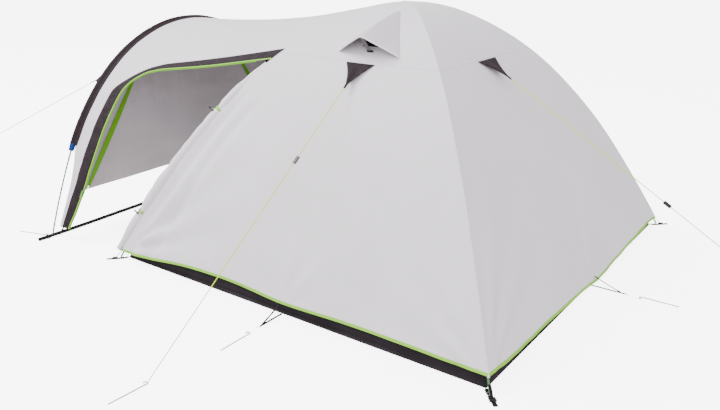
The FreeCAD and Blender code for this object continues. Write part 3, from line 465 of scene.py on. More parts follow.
class Finish:
    """A material being put together from procedural nodes."""

    def __init__(self, name, roughness=0.6, metallic=0.0, specular=0.4, sheen=0.0, coat=0.0):
        self.material = bpy.data.materials.new(name)
        self.material.use_nodes = True
        self.tree = self.material.node_tree
        self.shader = self.tree.nodes["Principled BSDF"]
        for socket, value in (("Roughness", roughness), ("Metallic", metallic),
                              ("Specular IOR Level", specular), ("Sheen Weight", sheen),
                              ("Coat Weight", coat)):
            self.shader.inputs[socket].default_value = value
        self.normal = None
        self.coordinates = self.add("ShaderNodeTexCoord")

    def add(self, kind, **values):
        made = self.tree.nodes.new(kind)
        for key, value in values.items():
            if hasattr(made, key):
                setattr(made, key, value)
            else:
                made.inputs[key].default_value = value
        return made

    def link(self, source, target):
        self.tree.links.new(source, target)

    def mapped(self, coordinates, scale):
        mapping = self.add("ShaderNodeMapping")
        mapping.inputs["Scale"].default_value = scale if hasattr(scale, "__len__") else (scale,) * 3
        self.link(self.coordinates.outputs[coordinates], mapping.inputs["Vector"])
        return mapping.outputs["Vector"]

    def noise(self, coordinates, scale, detail=3.0, rough=0.5, twist=0.0, stretch=(1, 1, 1)):
        made = self.add("ShaderNodeTexNoise", Detail=detail, Roughness=rough, Distortion=twist)
        made.inputs["Scale"].default_value = 1.0
        self.link(self.mapped(coordinates, tuple(scale * k for k in stretch)), made.inputs["Vector"])
        return made.outputs["Fac"]

    def threads(self, period_u, period_v):
        """Crossing threads over the piece's own map, as heights."""
        heights = []
        for direction, period in (("X", period_u), ("Y", period_v)):
            wave = self.add("ShaderNodeTexWave", wave_type="BANDS", bands_direction=direction)
            wave.inputs["Scale"].default_value = 1.0
            self.link(self.mapped("UV", 0.3142 / period), wave.inputs["Vector"])
            heights.append(wave.outputs["Fac"])
        both = self.add("ShaderNodeMath", operation="MAXIMUM")
        self.link(heights[0], both.inputs[0])
        self.link(heights[1], both.inputs[1])
        return both.outputs[0]

    def relief(self, height, strength, distance):
        made = self.add("ShaderNodeBump")
        made.inputs["Strength"].default_value = strength
        made.inputs["Distance"].default_value = distance
        self.link(height, made.inputs["Height"])
        if self.normal:
            self.link(self.normal, made.inputs["Normal"])
        self.normal = made.outputs["Normal"]

    def tinted(self, colour, factor, low=0.94, high=1.05, start=0.3, end=0.7):
        """The colour, a little darker and lighter where the factor is low and high."""
        ramp_node = self.add("ShaderNodeValToRGB")
        first, last = ramp_node.color_ramp.elements
        first.position, last.position = start, end
        first.color = (*[min(1.0, c * low) for c in colour], 1)
        last.color = (*[min(1.0, c * high) for c in colour], 1)
        self.link(factor, ramp_node.inputs["Fac"])
        self.link(ramp_node.outputs["Color"], self.shader.inputs["Base Color"])
        return self

    def glow(self, colour, strength):
        """Emission from the surface: on the guy cords it is painted light, a glow though they are no lamp; on
        the studio floor an evenly bright backdrop.
        """
        self.shader.inputs["Emission Color"].default_value = (*colour, 1)
        self.shader.inputs["Emission Strength"].default_value = strength

    def done(self):
        if self.normal:
            self.link(self.normal, self.shader.inputs["Normal"])
        return self.material


def made_once(name, make):
    if name not in MATERIALS:
        MATERIALS[name] = make(name)
    return MATERIALS[name]


def fly_cloth():
    """Light polyester with a faint sheen, fine threads and soft creases."""
    def make(name):
        finish = Finish(name, roughness=0.55, specular=0.32, sheen=0.12)
        finish.shader.inputs["Sheen Roughness"].default_value = 0.45
        finish.tinted(tuple(colours().fly), finish.noise("Object", 2.2, 4), 0.97, 1.02)
        finish.relief(finish.noise("Object", 5.0, 4, 0.55, 0.6), 0.22, 0.012)
        finish.relief(finish.noise("UV", 60.0, 3, 0.6, 0.3, (1, 0.25, 1)), 0.10, 0.0015)
        finish.relief(finish.threads(*FLY_THREADS), 0.12, 0.0002)
        return finish.done()
    return made_once("fly_cloth", make)


def hood_cloth():
    """The stiffened flysheet cloth of the vent hoods, darker than the rest as painted shade on the hoods."""
    def make(name):
        finish = Finish(name, roughness=0.55, specular=0.3)
        # 0.86 of the flysheet colour: painted shade on the hood
        finish.tinted(tuple(0.86 * c for c in colours().fly), finish.noise("Object", 5.0, 4), 0.96, 1.03)
        finish.relief(finish.noise("Object", 14.0, 4, 0.55, 0.6), 0.3, 0.006)
        finish.relief(finish.threads(*FLY_THREADS), 0.12, 0.0002)
        return finish.done()
    return made_once("hood_cloth", make)


def coated_cloth(name="coated_cloth", share=1.0):
    """The grey coated inside of the flysheet."""
    def make(name):
        finish = Finish(name, roughness=0.5, specular=0.35)
        # share scales the coating colour; below 1 it is painted shade
        finish.tinted(tuple(share * c for c in colours().coating), finish.noise("Object", 3.0, 4), 0.93, 1.05)
        finish.relief(finish.noise("Object", 7.0, 5, 0.6, 0.8), 0.35, 0.012)
        finish.relief(finish.noise("UV", 40.0, 3, 0.6, 0.4, (1, 0.12, 1)), 0.2, 0.002)
        finish.relief(finish.threads(*FLY_THREADS), 0.15, 0.0002)
        return finish.done()
    return made_once(name, make)


def charcoal_cloth():
    """Crisp charcoal cloth with small sharp crumples."""
    def make(name):
        finish = Finish(name, roughness=0.6, specular=0.07)
        finish.tinted(tuple(colours().charcoal), finish.noise("Object", 26.0, 5, 0.65, 1.2), 0.7, 1.35)
        finish.relief(finish.noise("Object", 22.0, 5, 0.6, 1.6), 0.6, 0.008)
        finish.relief(finish.threads(*HEAVY_THREADS), 0.25, 0.0003)
        return finish.done()
    return made_once("charcoal_cloth", make)


def sleeve_cloth():
    def make(name):
        finish = Finish(name, roughness=0.65, specular=0.08)
        finish.tinted(tuple(colours().sleeve), finish.noise("Object", 30.0, 4), 0.85, 1.15)
        finish.relief(finish.noise("UV", 34.0, 4, 0.6, 0.8, (2.2, 0.6, 1)), 0.35, 0.003)
        finish.relief(finish.threads(*HEAVY_THREADS), 0.3, 0.0003)
        return finish.done()
    return made_once("sleeve_cloth", make)


def woven(name, colour, period=0.0016, roughness=0.68, relief=0.5):
    """Woven tape or webbing: ribs across it and a fine edge-to-edge variation."""
    def make(name):
        finish = Finish(name, roughness=roughness, specular=0.2)
        finish.tinted(colour, finish.threads(period, period * 0.8), 0.78, 1.1, 0.2, 0.9)
        finish.relief(finish.threads(period, period * 0.8), relief, 0.0005)
        finish.relief(finish.noise("Object", 90.0, 3), 0.15, 0.001)
        return finish.done()
    return made_once(name, make)


def tub_cloth():
    def make(name):
        finish = Finish(name, roughness=0.6, specular=0.1)
        finish.tinted(tuple(colours().tub), finish.noise("Object", 9.0, 5, 0.6, 0.5), 0.8, 1.25)
        finish.relief(finish.noise("Object", 11.0, 5, 0.6, 0.9), 0.5, 0.01)
        finish.relief(finish.threads(*HEAVY_THREADS), 0.3, 0.0003)
        return finish.done()
    return made_once("tub_cloth", make)


def inner_cloth():
    def make(name):
        finish = Finish(name, roughness=0.75, specular=0.2, sheen=0.25)
        finish.tinted(tuple(colours().inner), finish.noise("Object", 4.0, 4), 0.94, 1.05)
        finish.relief(finish.noise("Object", 8.0, 4, 0.55, 0.7), 0.3, 0.012)
        finish.relief(finish.threads(0.0009, 0.0009), 0.2, 0.0002)
        return finish.done()
    return made_once("inner_cloth", make)


def insect_mesh():
    """Black netting: fine threads with clear holes between them."""
    def make(name):
        finish = Finish(name, roughness=0.8, specular=0.2)
        finish.tinted(paint(38, 37, 40), finish.noise("Object", 40.0, 2), 0.9, 1.1)
        hole = finish.add("ShaderNodeMapRange")
        for key, value in (("From Min", 0.55), ("From Max", 0.8), ("To Min", 0.35), ("To Max", 1.0)):
            hole.inputs[key].default_value = value
        finish.link(finish.threads(0.0016, 0.0016), hole.inputs["Value"])
        finish.link(hole.outputs["Result"], finish.shader.inputs["Alpha"])
        return finish.done()
    return made_once("insect_mesh", make)


def moulded(name, colour, roughness=0.42):
    """Moulded plastic with a fine grain and rubbed lighter patches."""
    def make(name):
        finish = Finish(name, roughness=roughness, specular=0.5)
        finish.tinted(colour, finish.noise("Object", 60.0, 4), 0.85, 1.2)
        finish.relief(finish.noise("Object", 900.0, 2), 0.15, 0.0004)
        return finish.done()
    return made_once(name, make)


def fibreglass():
    def make(name):
        finish = Finish(name, roughness=0.28, specular=0.55, coat=0.25)
        finish.tinted(tuple(colours().pole), finish.noise("Object", 35.0, 4, 0.6, 0.4), 0.82, 1.15)
        finish.relief(finish.noise("Object", 260.0, 3), 0.12, 0.0004)
        return finish.done()
    return made_once("fibreglass_rod", make)


def bright_steel():
    def make(name):
        finish = Finish(name, roughness=0.3, metallic=0.95, specular=0.5)
        finish.tinted(paint(176, 178, 182), finish.noise("Object", 120.0, 4), 0.8, 1.08)
        finish.relief(finish.noise("Object", 700.0, 2), 0.1, 0.0003)
        return finish.done()
    return made_once("bright_steel", make)


def guy_cord():
    """Braided cord: slanting strands round it."""
    def make(name):
        finish = Finish(name, roughness=0.55, specular=0.2)
        # painted glow: the cords give off light though they are no lamp
        finish.glow(tuple(colours().line), 0.3)
        strands = finish.noise("Object", 420.0, 2, 0.5, 0.5)
        finish.tinted(tuple(colours().line), strands, 0.82, 1.12, 0.35, 0.65)
        finish.relief(strands, 0.6, 0.0008)
        return finish.done()
    return made_once("guy_cord", make)


def webbing():
    return woven("black_webbing", tuple(colours().webbing), 0.0022)


def green_trim():
    return woven("green_binding", tuple(colours().trim), 0.0014, 0.6, 0.35)


def green_tape():
    return woven("green_zip_tape", tuple(colours().tape), 0.0012, 0.6, 0.35)


def paint_nodes(material, *names):
    for name in names:
        finish_with(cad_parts[name], material)


# ------------------------------------------------------------------ stage

CAMERA_PLACE = (3.3346, 2.1069, 1.6399)
CAMERA_HEADING, CAMERA_PITCH = math.radians(215.785), math.radians(19.94)
CAMERA_LENS, SENSOR_WIDTH = 38.0, 36
FLOOR_RADIUS, FLOOR_GLOW, SKY_STRENGTH = 70, 5.5, 1.36
LAMPS = (
    # name, place, what it points at, side, power
    ("key_light", (2.5, -5.0, 6.5), (0.3, -0.3, 0.6), 4.0, 800),
    ("fill_light", (5.5, 4.5, 4.5), (0, 0, 0.6), 5.0, 290),
)


class TENT_OT_stage(Operator):
    """Camera, pale floor and soft light"""
    bl_idname = "tent.stage"
    bl_label = "Stage"

    def execute(self, context):
        scene = context.scene
        data = bpy.data.cameras.new("view")
        data.sensor_width, data.lens = SENSOR_WIDTH, CAMERA_LENS
        data.clip_start, data.clip_end = 0.05, 200
        camera = bpy.data.objects.new("view", data)
        scene.collection.objects.link(camera)
        camera.location = CAMERA_PLACE
        camera.rotation_euler = (math.pi / 2 - CAMERA_PITCH, 0, CAMERA_HEADING - math.pi / 2)
        scene.camera = camera

        bpy.ops.object.select_all(action="DESELECT")
        bpy.ops.mesh.primitive_circle_add(vertices=96, radius=FLOOR_RADIUS, fill_type="NGON")
        floor = bpy.context.object
        floor.name = "studio_floor"
        finish = Finish("studio_floor_paint", roughness=0.9, specular=0.1)
        finish.tinted(paint(250, 250, 250), finish.noise("Object", 0.6, 2), 0.995, 1.0)
        finish.glow((1.0, 1.0, 1.0), FLOOR_GLOW)
        finish_with(floor, finish.done())
        finish.material.cycles.emission_sampling = "NONE"
        floor.visible_diffuse = floor.visible_glossy = False

        world = bpy.data.worlds.new("studio")
        scene.world = world
        world.use_nodes = True
        sky = world.node_tree.nodes["Background"]
        sky.inputs["Color"].default_value = (1.0, 1.0, 1.0, 1)
        sky.inputs["Strength"].default_value = SKY_STRENGTH
        for name, place, target, side, power in LAMPS:
            lamp = bpy.data.lights.new(name, "AREA")
            lamp.shape, lamp.size, lamp.energy = "SQUARE", side, power
            light = bpy.data.objects.new(name, lamp)
            scene.collection.objects.link(light)
            light.location = place
            aim = Vector(target) - Vector(place)
            light.rotation_euler = aim.to_track_quat("-Z", "Y").to_euler()
        return {"FINISHED"}


# ------------------------------------------------------------------ guy lines

LINE_ENDS = {
    "near": ((0.56543, 0.03712, 0.97543), (1.768, -0.028, 0.003)),
    "rear": ((0.01832, 0.57463, 0.98832), (-0.05, 2.16, 0.003)),
    "porch": ((0.67777, -1.70947, 0.81237), (1.37, -3.11, 0.003)),
}
TAB_REACH = 0.0263


def line_route(name):
    tip, end = (np.array(p) for p in LINE_ENDS[name])
    run = (end - tip) / np.linalg.norm(end - tip)
    start = tip + run * TAB_REACH
    return start, end, run


class TENT_OT_guy_lines(Operator):
    """The three guy lines, pulled taut from their patches to their pegs"""
    bl_idname = "tent.guy_lines"
    bl_label = "Guy lines"

    def execute(self, context):
        thick = sizes().cord_thickness
        for name in LINE_ENDS:
            start, end, run = line_route(name)
            curve = bpy.data.curves.new(f"{name}_guy_cord", "CURVE")
            curve.dimensions = "3D"
            points = [start, start + run * 6 * thick, end - run * 6 * thick, end]
            spline = curve.splines.new("NURBS")
            spline.points.add(len(points) - 1)
            for point, place in zip(spline.points, points):
                point.co = (*place, 1)
            spline.order_u = 3
            spline.use_endpoint_u = True
            spline.resolution_u = 24
            curve.bevel_depth = thick / 2
            curve.bevel_resolution = 3
            curve.use_fill_caps = True
            curve.materials.append(guy_cord())
            line = bpy.data.objects.new(f"{name}_guy_cord", curve)
            context.scene.collection.objects.link(line)
            placed(line, "tent", "guy_cord", f"{name}_guy_line")
            tuple(start)
        paint_nodes(moulded("slider_plastic", paint(30, 30, 33)), "near_guy_slider", "rear_guy_slider",
                    "porch_guy_slider")
        return {"FINISHED"}


# ------------------------------------------------------------------ flysheet over the dome

HEM_MARKS = {
    # shares across the side from ridge to ridge, and how much of the full hem rise is there
    "near": ((-1, -0.96, -0.8, -0.6, -0.4, -0.2, 0.02, 0.3, 0.62, 0.85, 1),
             (0, -0.1, 0.08, 0.48, 0.6, 0.5, 0.24, 0.42, 0.45, 0.38, 0.4)),
    "rear": ((-1, -0.93, -0.66, -0.38, -0.1, 0.136, 0.3, 0.5, 0.94, 1),
             (0.4, 0.28, 0.05, 0.0, -0.18, -0.42, -0.22, -0.08, 0.2, 0)),
    "far": ((-1, -0.7, -0.35, -0.02, 0.3, 0.65, 1), (0, 0.55, 0.75, 0.12, 0.75, 0.6, 0)),
}
VENT_MIDDLE, VENT_HALF, VENT_RISE = 0.060, 0.1725, 0.112
VENT_HIGH, VENT_LOW = 0.160, 0.425
OPENING_FROM, OPENING_TO, OPENING_HALF = 0.270, 0.385, 0.060


def soft_interp(x, marks, values):
    """Interpolation through marks with the corners rounded off."""
    fine = np.linspace(marks[0], marks[-1], 401)
    line = np.interp(fine, marks, values)
    kernel = np.hanning(61)
    padded = np.concatenate([2 * line[0] - line[30:0:-1], line, 2 * line[-1] - line[-2:-32:-1]])
    return np.interp(x, fine, np.convolve(padded, kernel / kernel.sum(), "valid"))


def hem_share(side, w):
    marks, values = HEM_MARKS[side]
    return pole("upper").share_at_height(
        sizes().hem_height + sizes().hem_rise * soft_interp(w, marks, values))


def fan(across, down, corner, spread, reach, depth, folds, turn):
    """Tension folds that run out of a corner and die away; across and down are in metres."""
    dx, dy = across - corner[0], corner[1] - down
    distance, angle = np.hypot(dx, dy), np.arctan2(dy, np.abs(dx)) - turn
    wave = np.cos(angle * folds) * np.exp(-(angle / spread) ** 2)
    return depth * wave * np.exp(-distance / reach) * (1 - np.exp(-(distance / 0.12) ** 2))


def side_relief(side, s, w):
    """How far the cloth stands out of, or pulls in from, the plain side."""
    out, up = face(s, sizes().fly_offset)
    across, down = w * out, sizes().apex_height - up
    free = 1 - w ** 2
    pulled_in = -sizes().cloth_sag * free * ramp(s, 0.25, 0.75)
    low = 1.25
    folds = (fan(across, down, (-1.06, low), 0.75, 0.42, 0.020, 17, 0.86)
             + fan(across, down, (1.06, low), 0.7, 0.34, 0.012, 15, 0.80)
             + fan(across, down, (0.02, low), 1.3, 0.22, 0.009, 9, 1.57))
    points = np.stack([across + HEADINGS[side][0] * 3, down, np.full_like(down, HEADINGS[side][1] * 5)], -1)
    soft = rumple(points * (1.0, 0.45, 1.0), 0.34, 3, 2) * 0.008 * ramp(s, 0.42, 0.7)
    slant = rumple(points @ np.array([[0.7, -1.9, 0], [0.35, 0.9, 0], [0, 0, 1.0]]).T, 0.5, 5, 2)
    slant = slant * 0.006 * ramp(s, 0.45, 0.8)
    hem = rumple(points * (1.0, 0.12, 1.0), 0.11, 9, 2) * 0.004 * ramp(s, 0.8, 0.99)
    if side == "near":
        beside = across + out
        crease = -0.014 * bump(beside, 0.060, 0.030) + 0.006 * bump(beside, 0.125, 0.030)
        crease = crease - 0.008 * bump(beside, 0.185 + 0.05 * (s - 0.7), 0.028)
        folds = folds + crease * ramp(s, 0.40, 0.56)
    edge = np.clip(free * 5, 0, 1)
    return pulled_in + (folds * ramp(s, 0.4, 0.6) + soft + slant + hem) * edge


def over_side(side, s, w, lift=0.0):
    """A point on the finished flysheet side, or lifted off it."""
    return side_place(side, s, w, sizes().fly_offset + side_relief(side, s, w) + lift)


class TENT_OT_flysheet(Operator):
    """The three sides of the flysheet over the dome"""
    bl_idname = "tent.flysheet"
    bl_label = "Flysheet sides"

    def execute(self, context):
        for side in ("near", "rear", "far"):
            def place(u, v):
                w = 2 * u - 1
                return over_side(side, v * hem_share(side, w), w)
            piece = grid(f"{side}_fly_cloth", 150, 150, place)
            if side != "rear":
                self.open_vent(piece)
            clothed(piece, CLOTH, fly_cloth(), coated_cloth())
            placed(piece, "tent", "fly_cloth", f"fly_{side}_side")
            declare_sheet(piece)
        return {"FINISHED"}

    def open_vent(self, piece):
        """Cuts the vent's opening out from under the hood."""
        only(piece)
        bpy.ops.object.mode_set(mode="EDIT")
        bpy.ops.mesh.select_all(action="DESELECT")
        bpy.ops.object.mode_set(mode="OBJECT")
        for polygon in piece.data.polygons:
            x, y, _ = polygon.center
            across = abs(y - VENT_MIDDLE)
            polygon.select = OPENING_FROM < abs(x) < OPENING_TO and across < OPENING_HALF
        bpy.ops.object.mode_set(mode="EDIT")
        bpy.ops.mesh.select_mode(type="FACE")
        bpy.ops.mesh.delete(type="FACE")
        bpy.ops.mesh.select_mode(type="VERT")
        bpy.ops.object.mode_set(mode="OBJECT")


SEAM_REACH = 0.465


class TENT_OT_seams_and_hem(Operator):
    """Flat seams on the flysheet and the green binding on its lower edge"""
    bl_idname = "tent.seams_and_hem"
    bl_label = "Seams and hem"

    def execute(self, context):
        hems = []
        for side in ("near", "rear", "far"):
            w = np.linspace(-0.999, 0.999, 181)
            s = hem_share(side, w)
            spine = over_side(side, s, w, -0.0005)
            up = unit(spine - over_side(side, s - 0.02, w, -0.0005)) * -1
            out = over_side(side, s, w, 0.01) - spine
            along = unit(np.gradient(spine, axis=0))
            up = unit(up - along * (up * along).sum(1, keepdims=True))
            out = unit(out - along * (out * along).sum(1, keepdims=True))
            hems.append(swept(f"hem_{side}", spine - up * 0.004, up, out, band_outline(0.013, 0.0036)))
        sewn("hem_tape", hems, green_trim(), "trim_green", ["hem_binding"], "folded")

        seam_share = vent_share(SEAM_REACH - 0.008)
        seams = []
        for side in ("near", "rear", "far"):
            w = np.linspace(-0.985, 0.985, 90)
            s = np.full_like(w, seam_share)
            spine = over_side(side, s, w, 0.0004)
            up = unit(over_side(side, s - 0.01, w) - over_side(side, s + 0.01, w))
            out = unit(over_side(side, s, w, 0.01) - spine)
            seams.append(swept(f"seam_{side}", spine, up, out, band_outline(0.011, 0.0012)))
        for name, heading in (("a", (1, 1)), ("b", (-1, 1)), ("c", (1, -1)), ("d", (-1, -1))):
            s = np.linspace(0.02, float(pole("upper").share_at_height(0.06)), 120)
            out, up = face(s, sizes().fly_offset + 0.0006)
            spine = stacked(out * heading[0], out * heading[1], up)
            outwards = unit(stacked(heading[0], heading[1], 0.0) * np.ones((len(s), 1)))
            along = unit(np.gradient(spine, axis=0))
            level = unit(np.cross(along, outwards))
            normal = np.cross(level, along) * -1
            normal = np.where((normal * outwards).sum(1, keepdims=True) < 0, -normal, normal)
            fold = math.radians(40)
            wing, fall = 0.007 * math.cos(fold), -0.007 * math.sin(fold)
            folded = np.array([(-wing, fall), (-0.002, -0.0008), (0, 0.0003), (0.002, -0.0008),
                               (wing, fall), (0.002, -0.003), (0, -0.0025), (-0.002, -0.003)])
            seams.append(swept(f"ridge_{name}", spine, level, normal, folded))
        sewn("fly_seam_tapes", seams, fly_cloth(), "fly_cloth", (), "stretched")
        return {"FINISHED"}


# ------------------------------------------------------------------ porch

ROUND = 0.32
OUTER_LINE = ((0, 0, 1), (0.15, 0, 0.6), (ROUND, 0, 0), (0.45, 0.2, 0), (0.6, 0.42, 0), (0.75, 0.62, 0),
              (0.82, 0.70, 0.018), (0.88, 0.769, 0.068), (0.94, 0.87, 0.08), (1, 0.967, 0.065))
OPENING_LINE = ((0, 0.360, 1.0), (0.15, 0.386, 0.62), (ROUND, 0.398, 0.375), (0.45, 0.412, 0.288),
                (0.53, 0.445, 0.236), (0.6, 0.496, 0.21), (0.75, 0.655, 0.23), (0.82, 0.736, 0.246),
                (0.88, 0.819, 0.255), (0.94, 0.899, 0.234), (1, 0.967, 0.2))
BAND_LINE = ((0, 0.318, 1.0), (0.15, 0.348, 0.608), (ROUND, 0.37, 0.367), (0.45, 0.39, 0.282),
             (0.53, 0.416, 0.22), (0.6, 0.458, 0.161), (0.66, 0.489, 0.126), (0.75, 0.616, 0.133),
             (0.88, 0.798, 0.14), (0.94, 0.889, 0.123), (1, 0.967, 0.101))


def skin_line(marks, w, rounding=61, straight_to=None):
    """t and v along a line drawn on the porch skin; straight_to keeps its first part sharp."""
    marks = np.array(marks)
    fine = np.linspace(0, 1, 601)
    result = []
    for column in (1, 2):
        line = np.interp(fine, marks[:, 0], marks[:, column])
        half = rounding // 2
        extended = np.concatenate([2 * line[0] - line[half:0:-1], line, 2 * line[-1] - line[-2:-half - 2:-1]])
        soft = np.convolve(extended, np.hanning(rounding) / np.hanning(rounding).sum(), "valid")
        if straight_to:
            blend = ramp(fine, straight_to, straight_to + 0.08)
            soft = line * (1 - blend) + soft * blend
        result.append(np.interp(w, fine, soft))
    return result


def outer_line(w):
    return skin_line(OUTER_LINE, w, straight_to=0.68)


def opening_line(w):
    return skin_line(OPENING_LINE, w)


def band_line(w):
    return skin_line(BAND_LINE, w)


def skin_relief(t, v, half):
    """The porch skin hangs between the arch and the dome, with soft folds from the arch's top."""
    edge = 0.5 if half > 0 else 0.9
    hang = -sizes().roof_sag * np.sin(np.pi * np.clip(v, 0, 1)) * (1 - ramp(t, 0.12, edge))
    points = np.stack([t * 1.7, v * 0.8, np.full_like(t, half * 2.0)], -1)
    soft = rumple(points * (2.2, 0.8, 1), 0.42, 11, 2) * 0.007
    ripple = rumple(points * (5.0, 0.9, 1), 0.5, 13, 2) * 0.004 * ramp(t, 0.35, 0.6)
    held = np.clip(np.minimum(v, 1 - v) * 9, 0, 1)
    return hang + (soft * np.clip(t * 8, 0, 1) + ripple) * held


def over_porch(t, v, lift, half):
    return porch_place(t, v, skin_relief(t, v, half) + lift, half)


def skin_strip(name, first, second, across, along, lift, half, wrinkle=0.0, seed=1):
    """Cloth between two lines drawn on the porch skin."""
    def place(u, w):
        (ta, va), (tb, vb) = first(w), second(w)
        t, v = ta + (tb - ta) * u, va + (vb - va) * u
        raised = lift
        if wrinkle:
            flat = np.stack([t * 1.7, v * 0.75, np.full_like(t, half)], -1)
            edge = np.clip(np.minimum(u, 1 - u) * 5, 0, 1)
            raised = lift + wrinkle * edge * (1 + rumple(flat, 0.045, seed, 3))
        return over_porch(t, v, raised, half)
    return grid(name, across, along, place)


def skin_tape(name, line, shift, lift, width, thick, half, count=220, reach=(0.0, 1.0)):
    """A narrow tape that follows a line on the porch skin, shifted sideways across it."""
    w = np.linspace(*reach, count)
    t, v = line(w)
    spine = over_porch(t, v, lift, half)
    normal = unit(over_porch(t, v, lift + 0.01, half) - spine)
    along = unit(np.gradient(spine, axis=0))
    side = unit(np.cross(normal, along)) * half
    return swept(name, spine + side * shift, side, np.cross(along, side), band_outline(width, thick))


# shift across the edge of the opening, lift off the porch skin, width and thickness
PIPING_SECTION = (-0.001, 0.0042, 0.006, 0.0036)
ZIP_SECTIONS = (("tape", 0.0055, 0.0022, 0.007, 0.0012), ("teeth", 0.0075, 0.0032, 0.003, 0.0020))
ZIP_REACH = (0.03, 0.998)


class TENT_OT_porch_cloth(Operator):
    """Porch roof with its side facings, charcoal bands, piping and zips"""
    bl_idname = "tent.porch_cloth"
    bl_label = "Porch roof and facings"

    def execute(self, context):
        halves = [skin_strip(f"roof_{half}", outer_line, opening_line, 56, 150, 0.001, half)
                  for half in (1, -1)]
        for half, piece in zip((1, -1), halves):
            face_away(piece, UNDER_ROOF)
        roof = joined("porch_roof_cloth", halves)
        clothed(roof, CLOTH, fly_cloth(), coated_cloth(), UNDER_ROOF)
        placed(roof, "tent", "fly_cloth", "porch_roof", "porch_facings")
        declare_sheet(roof)

        bands = [skin_strip(f"band_{half}", band_line, opening_line, 14, 260, 0.0026, half, 0.0022, 4)
                 for half in (1, -1)]
        for piece in bands:
            face_away(piece, UNDER_ROOF)
        band = joined("storm_flap_bands", bands)
        clothed(band, 0.0012, charcoal_cloth(), charcoal_cloth(), UNDER_ROOF)
        placed(band, "tent", "charcoal_cloth", "porch_storm_flaps")
        declare_sheet(band)

        piping = [skin_tape(f"piping_{half}", opening_line, *PIPING_SECTION, half) for half in (1, -1)]
        sewn("opening_piping", piping, green_trim(), "trim_green", (), "folded")

        zips = [skin_tape(f"zip_{half}_{kind}", opening_line, *section, half, reach=ZIP_REACH)
                for half in (1, -1) for kind, *section in ZIP_SECTIONS]
        sewn("side_zip_tapes", zips, green_tape(), "trim_green", ["side_door_zips"], "stretched")
        return {"FINISHED"}


# half width and half height of the sleeve round its pole, and the flange sewn to its tail
SLEEVE_OVAL = (0.019, 0.0165)
SLEEVE_FLANGE = [(0.030, -0.0032), (0.040, -0.0016), (0.041, 0.0026), (0.030, 0.0050)]
COLLAR_LENGTH, COLLAR_RADIUS = 0.038, 0.0150


class TENT_OT_sleeve(Operator):
    """Charcoal sleeve on the porch pole, with its sewn flange and coloured ends"""
    bl_idname = "tent.sleeve"
    bl_label = "Pole sleeve"

    def arch_spine(self, s):
        x, z = pole("arch").at(s)
        slope = pole("arch").slope_at(s)
        spine = stacked(x, -sizes().arch_offset, z)
        outwards = stacked(-np.sin(slope), 0.0, np.cos(slope))
        return spine, outwards

    def execute(self, context):
        low = float(pole("arch").share_at_height(sizes().sleeve_low))
        s = np.linspace(-low, low, 260)
        spine, outwards = self.arch_spine(s)
        inward = np.broadcast_to((0.0, 1.0, 0.0), spine.shape)
        turn = np.linspace(math.radians(32), math.radians(328), 20)
        circle = np.stack([np.cos(turn) * SLEEVE_OVAL[0], np.sin(turn) * SLEEVE_OVAL[1]], -1)
        outline = np.vstack([circle, SLEEVE_FLANGE])
        waver = 1 + 0.05 * rumple(spine, 0.09, 21, 2)
        sleeve = swept("porch_sleeve_cloth", spine, inward, outwards, outline, waver, capped=False)
        apply_modifier(sleeve, "SOLIDIFY", thickness=CLOTH, offset=-1)
        finish_with(sleeve, sleeve_cloth())
        smooth(sleeve, 60)
        placed(sleeve, "tent", "charcoal_cloth", "porch_sleeve")
        CUTS[sleeve.name] = (walk(outline), walk(spine), walk(outline) * walk(spine))
        declare_sheet(sleeve)

        reach = COLLAR_LENGTH / pole("arch").half_length
        ends = []
        for half in (1, -1):
            spine, outwards = self.arch_spine(np.linspace(low - 0.004, low + reach, 12) * half)
            inward = np.broadcast_to((0.0, 1.0, 0.0), spine.shape)
            oval = round_outline(COLLAR_RADIUS, 20) * (1.2, 1.0)
            ends.append(swept(f"end_{half}", spine, inward, outwards, oval, np.linspace(1.06, 0.9, 12),
                              capped=False))
        collar = joined("sleeve_collars", ends)
        apply_modifier(collar, "SOLIDIFY", thickness=0.0014, offset=-1)
        finish_with(collar, woven("blue_webbing", tuple(colours().blue), 0.0018))
        smooth(collar, 60)
        placed(collar, "tent", "sleeve_blue", "sleeve_ends")
        declare_sheet(collar)
        return {"FINISHED"}


# ------------------------------------------------------------------ doors of the porch

# the porch front stands back from the pole below the sleeve
RIM_HEIGHTS, RIM_INSETS = (-0.56, -0.47, -0.40, -0.30, -0.212), (0.0, 0.022, 0.034, 0.038, 0.040)
DOOR_LOW_HALF, DOOR_TOP_HALF, DOOR_LOW, DOOR_TOP = 0.85, 0.40, 0.212, 0.86
FRONT_AHEAD = 0.0005


def front_relief(x, z, depth=1.0):
    """Soft upright folds and a slight belly in the porch front."""
    points = np.stack([x, z * 0.25, np.zeros_like(x)], -1)
    folds = rumple(points, 0.085, 31, 3) * 0.006 * ramp(z, 0.45, 0.85) + rumple(points, 0.22, 33, 2) * 0.006
    streak = rumple(np.stack([x * 0.3 + z, z - x * 0.2, x * 0], -1), 0.16, 35, 2) * 0.004
    return (folds + streak) * depth


